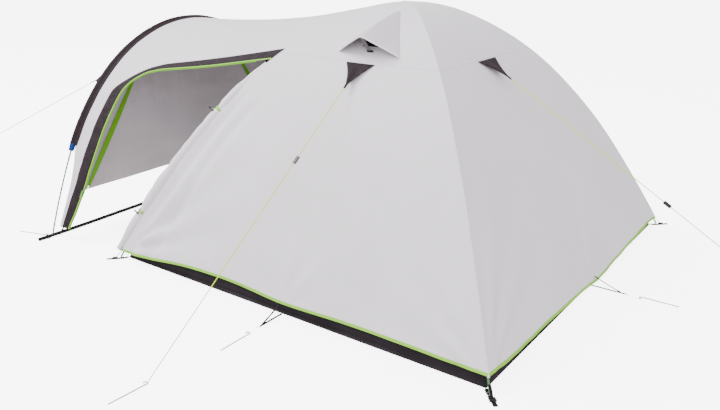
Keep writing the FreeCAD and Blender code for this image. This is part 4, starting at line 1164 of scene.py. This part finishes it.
class TENT_OT_porch_doors(Operator):
    """Porch front with its door, and the closed door on the far side"""
    bl_idname = "tent.porch_doors"
    bl_label = "Porch front and doors"

    def execute(self, context):
        self.front_wall()
        self.front_door()
        self.front_zips()
        self.far_door()
        return {"FINISHED"}

    def front_wall(self):
        arch = pole("arch")
        low = float(arch.share_at_height(DOOR_LOW))
        gap = 0.003
        corners = np.array([(-DOOR_LOW_HALF - gap, DOOR_LOW), (-DOOR_TOP_HALF - gap, DOOR_TOP + gap),
                            (DOOR_TOP_HALF + gap, DOOR_TOP + gap), (DOOR_LOW_HALF + gap, DOOR_LOW)])
        marks = np.array([0, 0.36, 0.64, 1.0])

        def place(u, v):
            inner_x, inner_z = np.interp(v, marks, corners[:, 0]), np.interp(v, marks, corners[:, 1])
            s = -low + 2 * low * v
            x, z = arch.at(s)
            slope = arch.slope_at(s)
            inset = 0.0135 + np.interp(-z, RIM_HEIGHTS, RIM_INSETS)
            rim_x, rim_z = x + np.sin(slope) * inset, z - np.cos(slope) * inset
            x, z = inner_x + (rim_x - inner_x) * u, inner_z + (rim_z - inner_z) * u
            held = np.clip(np.minimum(u, 1 - u) * 4, 0, 1)
            return stacked(x, -sizes().arch_offset - FRONT_AHEAD + front_relief(x, z) * held, z)
        wall = grid("porch_front_cloth", 34, 200, place)
        clothed(wall, CLOTH, fly_cloth(), coated_cloth())
        placed(wall, "tent", "lined_cloth", "porch_front_wall")
        declare_sheet(wall)

    def front_door(self):
        def place(u, v):
            z = DOOR_LOW + (DOOR_TOP - DOOR_LOW) * v
            half = DOOR_LOW_HALF + (DOOR_TOP_HALF - DOOR_LOW_HALF) * v
            x = (2 * u - 1) * half
            held = np.clip(np.minimum(np.minimum(u, 1 - u) * 6, (1 - v) * 6), 0, 1)
            return stacked(x, -sizes().arch_offset - FRONT_AHEAD + front_relief(x, z, 1.3) * held, z)
        door = grid("front_door_cloth", 120, 70, place)
        clothed(door, CLOTH, fly_cloth(), coated_cloth())
        placed(door, "front_door", "lined_cloth", "front_door")
        declare_sheet(door)

    def front_zips(self):
        outside, inside = [], []
        for half in (1, -1):
            low = np.array([DOOR_LOW_HALF * half, 0, DOOR_LOW])
            high = np.array([DOOR_TOP_HALF * half, 0, DOOR_TOP])
            run = (high - low) / np.linalg.norm(high - low)
            aside = np.array([run[2] * half, 0, -run[0] * half])
            front = np.array([0, -sizes().arch_offset - 0.006, 0])
            k = np.linspace(0, 1, 40)[:, None]
            spine = low + (high - run * 0.02 - low) * k + front + aside * 0.007
            side = np.broadcast_to(aside, spine.shape)
            ahead = np.broadcast_to((0.0, -1.0, 0.0), spine.shape)
            outside.append(swept(f"front_teeth_{half}", spine, side, ahead, band_outline(0.006, 0.002)))
            back = np.array([0, -sizes().arch_offset + 0.006, 0])
            spine = low + (high - low) * k * 0.90 + run * 0.02 + back + aside * 0.006
            width = 0.5 + 0.75 * np.sin(np.pi * np.linspace(0.08, 0.97, 40))
            inside.append(swept(f"front_tape_{half}", spine, side, -ahead,
                                band_outline(0.028, 0.0012), width))
        for name, parts, nodes in (("front_zip_teeth", outside, ["front_door_zips"]),
                                   ("front_zip_guards", inside, ())):
            sewn(name, parts, green_tape(), "trim_green", nodes, "stretched",
                 shading=None)

    def far_door(self):
        def ridge(w):
            down = ramp(w, -0.25, 1.1) / ramp(1.0, -0.25, 1.1)
            return 0.412 + (0.965 - 0.412) * down, np.full_like(w, 0.972)

        def edge(w):
            t, v = opening_line(w)
            return np.minimum(t + 0.008, 0.965), np.minimum(v + 0.028, 0.968)
        door = skin_strip("far_door_cloth", edge, ridge, 60, 120, 0.0, -1)
        clothed(door, CLOTH, fly_cloth(), coated_cloth(), UNDER_ROOF)
        placed(door, "far_door", "fly_cloth", "far_door")
        declare_sheet(door)


# ------------------------------------------------------------------ rolled door

ROLL_SHIFT = np.array([-0.002, -0.042, 0.0])
TIE_SHARES = {"upper": 0.53, "lower": 0.86}
ROLL_FROM, ROLL_TO, ROLL_TURNS, ROLL_FLATNESS = 0.37, 0.982, 3.5, 1.3


def roll_spine(s):
    x, z = pole("lower").at(s)
    slope = pole("lower").slope_at(s)
    closeness = (0.62 + 0.38 * ramp(s, 0.60, 0.86))[:, None]
    spine = stacked(x * HALF, -x * HALF, z) + ROLL_SHIFT * closeness
    outwards = stacked(-np.sin(slope) * HALF, np.sin(slope) * HALF, np.cos(slope))
    along = stacked(np.cos(slope) * HALF, -np.cos(slope) * HALF, np.sin(slope))
    return spine, outwards, along


class TENT_OT_door_roll(Operator):
    """The near porch door, rolled up against the pole and tied in two places"""
    bl_idname = "tent.door_roll"
    bl_label = "Rolled door"

    def execute(self, context):
        s = np.linspace(ROLL_FROM, ROLL_TO, 116)
        spine, outwards, along = roll_spine(s)
        level = np.cross(along, outwards)
        count = 104
        angle = np.linspace(0, ROLL_TURNS * 2 * np.pi, count)
        radius = np.linspace(1.0, 0.30, count) * sizes().roll_radius
        rolled = np.stack([np.cos(angle) * ROLL_FLATNESS, np.sin(angle)], -1)
        outline = np.vstack([rolled * radius[:, None], (rolled * (radius - 0.0012)[:, None])[::-1]])
        full = (1.02 + 0.07 * rumple(spine, 0.22, 41, 2)
                - 0.26 * sum(bump(s, tie, 0.014) for tie in TIE_SHARES.values())
                + 0.12 * bump(s, 0.76, 0.05))
        full = full * (0.5 + 0.5 * ramp(s, 0.36, 0.50)) * (1 - 0.22 * ramp(s, 0.92, 0.98))
        roll = swept("near_door_cloth", spine, level, outwards, outline, full)
        points = read(roll)
        middle = spine[np.argmin(((points[:, None, :] - spine[None]) ** 2).sum(-1), axis=1)]
        away = unit(points - middle)
        write(roll, points + away * (rumple(points * (1.0, 1.0, 0.35), 0.07, 43, 2) * 0.0052)[:, None])
        finish_with(roll, fly_cloth())
        smooth(roll, 50)
        placed(roll, "tent", "fly_cloth", "near_door_roll")
        long = walk(rolled * radius[:, None]) * float(full.mean())
        CUTS[roll.name] = (long, walk(spine), long * walk(spine))
        declare_sheet(roll)

        loops = []
        for name, tie in TIE_SHARES.items():
            at, out, run = (a[0] for a in roll_spine(np.array([tie])))
            aside = np.cross(run, out)
            turn = np.linspace(0, 2 * np.pi, 41)[:, None]
            reach = sizes().roll_radius * 0.86
            spine_tie = (at + run * 0.006 + aside * np.cos(turn) * reach * ROLL_FLATNESS
                         + out * np.sin(turn) * reach)
            outward = unit(spine_tie - at - run * 0.006)
            side = np.broadcast_to(run, spine_tie.shape)
            loops.append(swept(f"tie_{name}", spine_tie, side, outward, band_outline(0.011, 0.0018)))
            toggle = sum((np.array(corner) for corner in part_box(f"{name}_toggle")), np.zeros(3)) / 2
            held = [at + (toggle - at) * k for k in (0.35, 0.7, 1.05)]
            loops.append(strap(f"tie_end_{name}", held, 0.010, 0.0022, out, 12))
        sewn("roll_tie_loops", loops, green_trim(), "trim_green", ["roll_ties"], "folded")
        paint_nodes(moulded("toggle_plastic", paint(34, 33, 36)), "upper_toggle", "lower_toggle")
        return {"FINISHED"}


# ------------------------------------------------------------------ vents


def vent_share(reach):
    s = np.linspace(0, 1, 2001)
    return float(np.interp(reach, face(s, sizes().fly_offset)[0], s))


class TENT_OT_vents(Operator):
    """Vent hoods with their mesh, and the struts that hold them open"""
    bl_idname = "tent.vents"
    bl_label = "Vents"

    def execute(self, context):
        high, low = vent_share(VENT_HIGH), vent_share(VENT_LOW)
        for side, half in (("near", 1), ("far", -1)):
            def place(u, v):
                k = 0.03 + 0.97 * v
                w = 2 * u - 1
                s = high + (low - high) * k * (1 - 0.035 * (1 - np.abs(w)) * v)
                tent_shape = (1 - np.abs(w)) ** 0.92 * (1 - 0.04 * bump(w, 0, 0.06))
                out, up = face(s, sizes().fly_offset + 0.0014 + VENT_RISE * k * tent_shape)
                return stacked(out, VENT_MIDDLE + w * k * VENT_HALF, up) * (half, 1, 1)
            hood = grid(f"{side}_hood_cloth", 60, 50, place)
            # the hood's inside at 0.3 of the coating colour: painted shade under the hood
            clothed(hood, CLOTH, hood_cloth(), coated_cloth("hood_coating", 0.3), UNDER_VENTS)
            placed(hood, "tent", "fly_cloth", f"{side}_vent_hood")
            declare_sheet(hood)
            self.crumple(hood, side, half)

            rim_w = np.linspace(-1, 1, 90)
            rim = place((rim_w + 1) / 2, np.ones(90))
            inner = place((rim_w + 1) / 2, np.full(90, 0.97))
            up = unit(inner - rim)
            along = unit(np.gradient(rim, axis=0))
            piping = swept(f"{side}_hood_piping", rim, np.cross(along, up), up, band_outline(0.005, 0.006))
            finish_with(piping, woven("pale_piping", paint(238, 238, 238), 0.0012, 0.6, 0.3))
            smooth(piping, 60)
            placed(piping, "tent", "fly_cloth")
            CUTS[piping.name] = (0.022, walk(rim), 0.022 * walk(rim))
            self.crumple(piping, side, half)

            net = grid(f"{side}_vent_net", 24, 24, lambda u, v: stacked(
                *self.over_vent(OPENING_FROM - 0.011 + (OPENING_TO - OPENING_FROM + 0.022) * v,
                                VENT_MIDDLE + (u - 0.5) * (2 * OPENING_HALF + 0.022), half)))
            face_away(net, UNDER_VENTS)
            finish_with(net, insect_mesh())
            smooth(net)
            apply_modifier(net, "SOLIDIFY", thickness=0.0006, offset=0)
            placed(net, "tent", "insect_mesh")
            if half == 1:
                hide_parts("vent_meshes")
            declare_sheet(net)
            self.strut(side, half)
        return {"FINISHED"}

    def over_vent(self, x, y, half):
        s = np.linspace(0, 1, 2001)
        out, up = face(s, sizes().fly_offset - 0.0022)
        return x * half, y, np.interp(x, out, up)

    def crumple(self, piece, side, half):
        """Gives the piece a mesh of its own."""
        s = np.array([vent_share(VENT_LOW)])
        out, up = face(s, sizes().fly_offset)
        slope = pole("upper").slope_at(s)
        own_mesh(piece)

    def strut(self, side, half):
        s = np.array([vent_share(VENT_LOW - 0.012)] * 2)
        out, up = face(s, sizes().fly_offset + np.array([0.0032, VENT_RISE - 0.012]))
        foot, top = (np.array([out[k] * half, VENT_MIDDLE, up[k]]) for k in (0, 1))
        rise = unit(top - foot)
        k = np.linspace(0, 1, 30)[:, None]
        spine = foot + (top - foot) * k + np.array([half * 0.003, 0, 0]) * np.sin(np.pi * k)
        level = np.broadcast_to((0.0, 1.0, 0.0), spine.shape)
        ahead = np.cross(np.broadcast_to(rise, spine.shape), level)
        width = 1 + 0.25 * bump(k[:, 0], 0, 0.12) + 0.15 * bump(k[:, 0], 1, 0.1)
        bar = swept(f"{side}_hood_strut", spine, level, ahead, band_outline(0.021, 0.003), width)
        finish_with(bar, moulded("strut_plastic", paint(88, 83, 88), 0.5))
        smooth(bar, 60)
        pad_spine = foot + rise * np.linspace(-0.0015, 0.010, 8)[:, None]
        pad = swept(f"{side}_strut_pad", pad_spine, np.broadcast_to((0.0, 1.0, 0.0), pad_spine.shape),
                    np.cross(np.broadcast_to(rise, pad_spine.shape), level[:8]),
                    band_outline(0.034, 0.008), np.array([1, 1, 0.98, 0.92, 0.85, 0.75, 0.62, 0.5]))
        finish_with(pad, woven("hook_tape", paint(24, 23, 25), 0.001, 0.9, 0.7))
        smooth(pad, 60)
        placed(bar, f"{side}_vent_strut", "grey_strut", f"{side}_vent_strut")
        placed(pad, f"{side}_vent_strut", "black_plastic")


# ------------------------------------------------------------------ guy line patches

PATCHES = {
    "near": ((SEAM_REACH, -0.038), (SEAM_REACH, 0.123)),
    "rear": ((SEAM_REACH, -0.111), (SEAM_REACH, 0.065)),
}


class TENT_OT_patches(Operator):
    """Stitched triangles and webbing tabs where the guy lines pull on the cloth"""
    bl_idname = "tent.patches"
    bl_label = "Guy line patches"

    def execute(self, context):
        patches, tabs = [], []
        for name in ("near", "rear", "porch"):
            if name == "porch":
                s = np.array([0.475, 0.385])
                x, z = pole("arch").at(s)
                outward = np.array([0.35, -0.94, 0.0]) / math.hypot(0.35, 0.94) * 0.0126
                left, right = stacked(x, -sizes().arch_offset, z) + outward
            else:
                (reach, a), (_, b) = PATCHES[name]
                share = vent_share(reach)
                out = float(face(np.array([share]), sizes().fly_offset)[0][0])
                left, right = (side_place(name, share, y / out, sizes().fly_offset + 0.0016) for y in (a, b))
            tip = np.array(LINE_ENDS[name][0])
            run = line_route(name)[2]
            bow = 0.34 if name == "porch" else 0.10

            def place(u, v):
                base = left + (right - left) * u[:, None]
                narrow = (u - 0.5) * np.abs(np.sin(np.pi * v)) * bow
                point = tip + run * 0.011 + (right - left) * 0.035 * (u[:, None] - 0.5)
                flat = base * (1 - v[:, None]) + point * v[:, None] - (right - left) * narrow[:, None]
                normal = unit(np.cross(right - left, tip - left))
                if normal[2] < 0:
                    normal = -normal
                return flat + normal * (0.003 * np.sin(np.pi * v) * np.sin(np.pi * u * 2))[:, None]
            patches.append(grid(f"patch_{name}", 24, 24, place))
            face_away(patches[-1], TENT_MIDDLE)
            spine = tip - run * 0.012 + run * np.linspace(0, TAB_REACH + 0.013, 14)[:, None]
            side = unit(np.cross(run, (0, 0, 1.0)))
            up = np.cross(side, run)
            tabs.append(swept(f"tab_{name}", spine, np.broadcast_to(side, spine.shape),
                              np.broadcast_to(up, spine.shape), band_outline(0.012, 0.0042),
                              np.linspace(1.15, 0.8, 14)))
        whole = joined("guy_patch_cloth", patches)
        finish_with(whole, charcoal_cloth(), charcoal_cloth())
        apply_modifier(whole, "SOLIDIFY", thickness=0.0014, offset=0)
        smooth(whole)
        placed(whole, "tent", "charcoal_cloth", "guy_patches")
        declare_sheet(whole)
        sewn("guy_webbing_tabs", tabs, webbing(), "webbing", ["guy_tabs"], "folded")
        return {"FINISHED"}


# ------------------------------------------------------------------ groundsheet and inner tent


class TENT_OT_groundsheet(Operator):
    """The dark groundsheet with its raised sides"""
    bl_idname = "tent.groundsheet"
    bl_label = "Groundsheet"

    def execute(self, context):
        half = sizes().floor_half
        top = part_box("groundsheet_tub")[1].z
        lean = half - face(pole("upper").share_at_height(np.array([top])), -0.026)[0][0]
        edge = 0.88

        def place(u, v):
            x, y = 2 * u - 1, 2 * v - 1
            reach = np.maximum(np.abs(x), np.abs(y))
            k = np.clip((reach - edge) / (1 - edge), 0, 1)
            flat = np.minimum(reach / edge, 1) * half - lean * k
            x, y = x / np.maximum(reach, 1e-9) * flat, y / np.maximum(reach, 1e-9) * flat
            points = np.stack([x, y, k * 0.1], -1)
            corner = np.minimum(np.abs(x), np.abs(y)) / half
            droop = 0.016 * (1 - corner ** 2) * k
            belly = rumple(points, 0.16, 51, 3) * 0.007 * np.sin(np.pi * k * 0.5) * (1 - corner ** 4)
            side = np.abs(x) > np.abs(y)
            x = x - np.where(side, np.sign(x) * np.abs(belly), 0)
            y = y - np.where(~side, np.sign(y) * np.abs(belly), 0)
            floor = np.where(k <= 0, 0.0014 + np.abs(rumple(points, 0.3, 53, 2)) * 0.003 * (1 - reach), 0)
            turned = np.clip(1 - k / 0.45, 0, 1) * (k > 0)
            tuck = 0.020 * (1 - corner ** 4) * turned ** 2
            x = x - np.where(side, np.sign(x) * tuck, 0)
            y = y - np.where(~side, np.sign(y) * tuck, 0)
            return stacked(x, y, 0.0012 + k * (top - 0.0012) - droop + floor)
        tub = grid("groundsheet_cloth", 150, 150, place)
        face_away(tub, (0, 0, 3.0))
        finish_with(tub, tub_cloth(), tub_cloth())
        apply_modifier(tub, "SOLIDIFY", thickness=CLOTH, offset=-1)
        smooth(tub)
        placed(tub, "tent", "tub_cloth", "groundsheet_tub")
        declare_sheet(tub)
        return {"FINISHED"}


INNER_GAP, INNER_LOW, INNER_TOP = 0.026, 0.1215, 1.262
DOOR_LIMITS = (-0.44, 0.44, 0.175, 0.96, 0.15)
WINDOW_LIMITS = (-0.33, 0.33, 0.61, 0.86, 0.07)


def in_rounded(x, z, limits, grow=0.0):
    left, right, low, high, corner = limits
    corner += grow
    dx = np.maximum(np.maximum(left - grow + corner - x, x - (right + grow - corner)), 0)
    dz = np.maximum(np.maximum(low - grow + corner - z, z - (high + grow - corner)), 0)
    return np.hypot(dx, dz) <= corner


def ray_reach(centre, angle, inside):
    """How far each ray from the centre stays inside a shape."""
    low, high = np.zeros_like(angle), np.full_like(angle, 3.0)
    for _ in range(40):
        middle = (low + high) / 2
        within = inside(centre[0] + np.cos(angle) * middle, centre[1] + np.sin(angle) * middle)
        low, high = np.where(within, middle, low), np.where(within, high, middle)
    return low


class TENT_OT_inner_tent(Operator):
    """Inner tent: four sides, its door with a mesh window, and pockets"""
    bl_idname = "tent.inner_tent"
    bl_label = "Inner tent"

    def execute(self, context):
        self.low_share = float(pole("upper").share_at_height(INNER_LOW))
        for side in ("near", "rear", "far"):
            def place(u, v):
                w = 2 * u - 1
                s = v * self.low_share
                return side_place(side, s, w, -INNER_GAP + self.sag(side, s, w))
            piece = grid(f"inner_{side}_cloth", 70, 70, place)
            clothed(piece, INNER_CLOTH, inner_cloth(), inner_cloth())
            placed(piece, "tent", "inner_cloth", f"inner_{side}_side")
            declare_sheet(piece)
        self.front()
        self.pockets()
        return {"FINISHED"}

    def sag(self, side, s, w):
        points = np.stack([w, s, np.full_like(s, HEADINGS[side][0] + 2 * HEADINGS[side][1])], -1)
        free = (1 - w ** 2) * np.sin(np.pi * np.clip(s / self.low_share, 0, 1))
        return -(0.022 + 0.010 * rumple(points, 0.35, 61, 2)) * free

    def on_front(self, x, z, lift=0.0):
        s = pole("upper").share_at_height(z)
        out, _ = face(s, -INNER_GAP)
        w = np.clip(x / np.maximum(out, 1e-6), -1, 1)
        depth = self.sag("front", s, w)
        return stacked(x, -out - depth - lift, z)

    def ring(self, name, centre, inner, outer, lift, across=16, around=180, margin=0.0):
        """Cloth between two outlines that both go round the same centre."""
        def place(u, v):
            angle = u * 2 * np.pi
            near, far = ray_reach(centre, angle, inner), ray_reach(centre, angle, outer)
            reach = near + (far - margin - near) * v
            return self.on_front(centre[0] + np.cos(angle) * reach, centre[1] + np.sin(angle) * reach, lift)
        piece = grid(name, around, across, place)
        in_edit_mode(piece, lambda: bpy.ops.mesh.remove_doubles(threshold=1e-6))
        self.cut_size(piece)
        return piece

    def cut_size(self, piece):
        """The flat size of a piece that is cut as a broad ring or a disc."""
        spans = np.ptp(read(piece), axis=0)
        width, length, area = float(spans[0]), float(np.hypot(spans[1], spans[2])), CUTS[piece.name][2]
        if area > 0.3 * width * length:
            CUTS[piece.name] = (width, length, area)

    def front(self):
        def in_panel(x, z):
            out, _ = face(pole("upper").share_at_height(z), -INNER_GAP)
            return (np.abs(x) <= out) & (z >= INNER_LOW) & (z <= INNER_TOP)

        def in_door(grow):
            return lambda x, z: in_rounded(x, z, DOOR_LIMITS, grow)

        def in_window(x, z):
            return in_rounded(x, z, WINDOW_LIMITS)
        middle = (0.0, 0.62)
        panel = self.ring("inner_front_cloth", middle, in_door(0.003), in_panel, 0.0, 40)
        clothed(panel, INNER_CLOTH, inner_cloth())
        placed(panel, "tent", "inner_cloth", "inner_front_side")
        declare_sheet(panel)
        zip_ring = self.ring("inner_zip_tape", middle, in_door(0.004), in_door(0.014), 0.0018, 3)
        clothed(zip_ring, 0.0014, woven("inner_zip", paint(60, 60, 64), 0.0012))
        placed(zip_ring, "tent", "trim_green", "inner_door_zip")
        declare_sheet(zip_ring)
        window = (0.0, 0.735)
        door = self.ring("inner_door_cloth", window, in_window, in_door(0.0), 0.0, 24)
        clothed(door, INNER_CLOTH, inner_cloth())
        placed(door, "inner_door", "inner_cloth", "inner_door")
        declare_sheet(door)

        def net_place(u, v):
            angle = u * 2 * np.pi
            reach = ray_reach(window, angle, lambda x, z: in_rounded(x, z, WINDOW_LIMITS, 0.004)) * v
            return self.on_front(window[0] + np.cos(angle) * reach, window[1] + np.sin(angle) * reach, 0.001)
        net = grid("inner_door_net", 120, 14, net_place)
        in_edit_mode(net, lambda: bpy.ops.mesh.remove_doubles(threshold=1e-6))
        self.cut_size(net)
        clothed(net, 0.0004, insect_mesh())
        placed(net, "inner_door", "insect_mesh", "inner_door_mesh")
        declare_sheet(net)

    def pockets(self):
        made = []
        for k, middle in enumerate((-0.41, 0.41)):
            def place(u, v):
                x = middle + (u - 0.5) * 0.296
                z = 0.192 + 0.196 * v
                s = pole("upper").share_at_height(z)
                out, _ = face(s, -INNER_GAP)
                held = np.sin(np.pi * u) ** 0.5 * (0.35 + 0.65 * np.sin(np.pi * np.clip(v * 0.75, 0, 1)))
                pleat = 0.0015 * np.cos(u * 40) * v
                return stacked(x, out - 0.0024 - self.depth(x, s, out) - 0.010 * held - pleat, z)
            made.append(grid(f"pocket_{k}", 40, 24, place))
            face_away(made[-1], (0, 3, 0.3))
        pockets = joined("gear_pocket_cloth", made)
        finish_with(pockets, inner_cloth(), inner_cloth())
        apply_modifier(pockets, "SOLIDIFY", thickness=0.0008, offset=0)
        smooth(pockets)
        placed(pockets, "tent", "inner_cloth", "gear_pockets")
        declare_sheet(pockets)

    def depth(self, x, s, out):
        return -self.sag("rear", s, np.clip(-x / out, -1, 1))


# ------------------------------------------------------------------ straps and hardware

# width and thickness of each kind of webbing
BROAD_WEBBING, NARROW_WEBBING, PORCH_WEBBING = (0.02, 0.0015), (0.012, 0.0014), (0.021, 0.0040)
HANGER_WEBBING, FOOT_WEBBING = (0.009, 0.0012), (0.010, 0.0014)
EYE_RADIUS = 0.0088


class TENT_OT_straps(Operator):
    """Corner straps, peg loops and the strap under the porch"""
    bl_idname = "tent.straps"
    bl_label = "Straps and loops"

    def execute(self, context):
        z = sizes()
        reach = z.floor_half * math.sqrt(2)
        foot = reach + z.foot_margin
        corners = [np.array([x, y, 0]) * HALF for x in (1, -1) for y in (1, -1)]
        floor_straps, fly_straps = [], []
        hem = pole("upper").share_at_height(np.array([z.hem_height]))
        hem_out = float(face(hem, z.fly_offset + 0.003)[0][0])
        for k, heading in enumerate(corners):
            start, end = heading * (reach + 0.004), heading * (foot + 0.075)
            lift = np.array([0, 0, 0.0009])
            route = [start + lift + (0, 0, 0.004), start * 0.75 + end * 0.25 + lift,
                     start * 0.4 + end * 0.6 + lift, end + lift]
            floor_straps.append(strap(f"corner_{k}", route, *BROAD_WEBBING))
            low = heading * (foot + 0.026) + np.array([0, 0, 0.0076])
            high = heading * (hem_out / HALF - 0.002) + np.array([0, 0, z.hem_height - 0.006])
            bowed = low * 0.6 + high * 0.4 + (0, 0, 0.004)
            fly_straps.append(strap(f"fly_strap_{k}", [low, bowed, high], *NARROW_WEBBING))
        sewn("corner_webbing", floor_straps, webbing(), "webbing", ["corner_straps"])
        sewn("fly_corner_webbing", fly_straps, webbing(), "webbing", ["fly_corner_straps"])

        low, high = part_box("porch_ground_strap")
        middle = (low.y + high.y) / 2
        x = np.linspace(low.x, high.x, 9)
        rise = np.array([0.0, 0.0, 0.003, 0.004, 0.003, 0.004, 0.003, 0.0, 0.0])
        points = stacked(x, middle, 0.0082 + rise)
        run = strap("porch_run", points, *PORCH_WEBBING, (0, 0.9, 1), 90)
        sewn("porch_webbing", [run], webbing(), "webbing", ["porch_ground_strap"])
        edge = z.floor_half + 0.0012
        loops, hangers = [], []
        for name, out, turn in (("near", (1, 0), 0.022), ("rear", (0, 1), -0.060), ("far", (-1, 0), 0.022)):
            heading = np.array([*out, 0.0])
            aside = np.array([0.0, 1.0, 0.0]) if out[0] else np.array([1.0, 0.0, 0.0])
            long = 0.155 if name != "rear" else 0.183
            flat = np.array([0, 0, 0.0009])
            tail = [edge - 0.002, edge + 0.04, edge + 0.1, edge + long - 0.012]
            loops.append(strap(f"loop_{name}", [heading * k + aside * turn + flat for k in tail],
                               *NARROW_WEBBING))
            turn_round = np.linspace(0, 2 * np.pi, 29)[:, None]
            eye = heading * (edge + long - 0.0035) + aside * turn + flat
            across = np.cross(heading, (0, 0, 1.0))
            ring = (eye + heading * np.cos(turn_round) * EYE_RADIUS
                    + across * np.sin(turn_round) * EYE_RADIUS)
            outward = unit(ring - eye)
            loops.append(swept(f"eye_{name}", ring, outward, np.broadcast_to((0, 0, 1.0), ring.shape),
                               round_outline(0.0009, 8)))
            high_share = pole("upper").share_at_height(np.array([z.hem_height + 0.012]))
            hem = float(face(high_share, z.fly_offset + 0.002)[0][0])
            beyond = 0.130 if name != "rear" else 0.150
            low = heading * (z.floor_half + beyond) + aside * turn + (0, 0, 0.004)
            high = heading * hem + aside * turn + (0, 0, z.hem_height + 0.004)
            droop = low * 0.5 + high * 0.5 - (0, 0, 0.002)
            hangers.append(strap(f"hanger_{name}", [low, droop, high], *HANGER_WEBBING,
                                 hint=(heading[0], heading[1], 1.0)))
        sewn("peg_loop_webbing", loops, webbing(), "webbing", ["peg_loops"])
        for half in (1, -1):
            top = over_porch(np.array([0.962]), np.array([0.12]), 0.0, half)[0]
            low = np.array([top[0] - 0.004 * half, -z.arch_offset + 0.018, 0.005])
            hangers.append(strap(f"hanger_foot_{half}", [low, low * 0.5 + top * 0.5, top], *FOOT_WEBBING,
                                 hint=(half, 0, 0.2)))
        sewn("fly_peg_webbing", hangers, webbing(), "webbing", ["fly_peg_straps"])
        return {"FINISHED"}


class TENT_OT_hardware(Operator):
    """Finishes of the poles, pegs, buckles and sliders that keep their CAD shapes"""
    bl_idname = "tent.hardware"
    bl_label = "Poles and hardware"

    def execute(self, context):
        paint_nodes(fibreglass(), "upper_dome_pole", "lower_dome_pole", "porch_pole")
        paint_nodes(bright_steel(), "pole_ferrules", "ring_pins", "tent_pegs", "guy_pegs")
        paint_nodes(woven("shock_cord", paint(40, 40, 44), 0.001), "shock_cords")
        paint_nodes(moulded("buckle_plastic", paint(28, 28, 31)), "strap_buckles", "inner_tent_clips")
        paint_nodes(moulded("zip_slider_metal", paint(96, 150, 60), 0.35), "near_zip_slider",
                    "far_zip_slider", "front_zip_slider_near", "front_zip_slider_far")
        paint_nodes(woven("loop_cord", paint(60, 60, 62), 0.001), "lantern_loop")
        return {"FINISHED"}


# ------------------------------------------------------------------ panel and registering


STEPS = (TENT_OT_stage, TENT_OT_guy_lines, TENT_OT_flysheet, TENT_OT_porch_cloth, TENT_OT_sleeve,
         TENT_OT_porch_doors, TENT_OT_door_roll, TENT_OT_vents, TENT_OT_patches, TENT_OT_seams_and_hem,
         TENT_OT_groundsheet, TENT_OT_inner_tent, TENT_OT_straps, TENT_OT_hardware)


class TENT_PT_panel(Panel):
    """Lists the sizes, colours and building steps of the tent"""
    bl_idname = "TENT_PT_panel"
    bl_label = "Dome tent"
    bl_space_type = "VIEW_3D"
    bl_region_type = "UI"
    bl_category = "Tent"

    def draw(self, context):
        for group in (context.scene.tent_sizes, context.scene.tent_colours):
            box = self.layout.box()
            for name in group.bl_rna.properties.keys():
                if name not in ("rna_type", "name"):
                    box.prop(group, name)
        for step in STEPS:
            self.layout.operator(step.bl_idname)


CLASSES = (TentSizes, TentColours, *STEPS, TENT_PT_panel)


def register():
    for kind in CLASSES:
        bpy.utils.register_class(kind)
    bpy.types.Scene.tent_sizes = PointerProperty(type=TentSizes)
    bpy.types.Scene.tent_colours = PointerProperty(type=TentColours)


def unregister():
    del bpy.types.Scene.tent_colours
    del bpy.types.Scene.tent_sizes
    for kind in reversed(CLASSES):
        bpy.utils.unregister_class(kind)


def main():
    register()
    for step in STEPS:
        group, name = step.bl_idname.split(".")
        getattr(getattr(bpy.ops, group), name)()


if __name__ == "__main__":
    main()
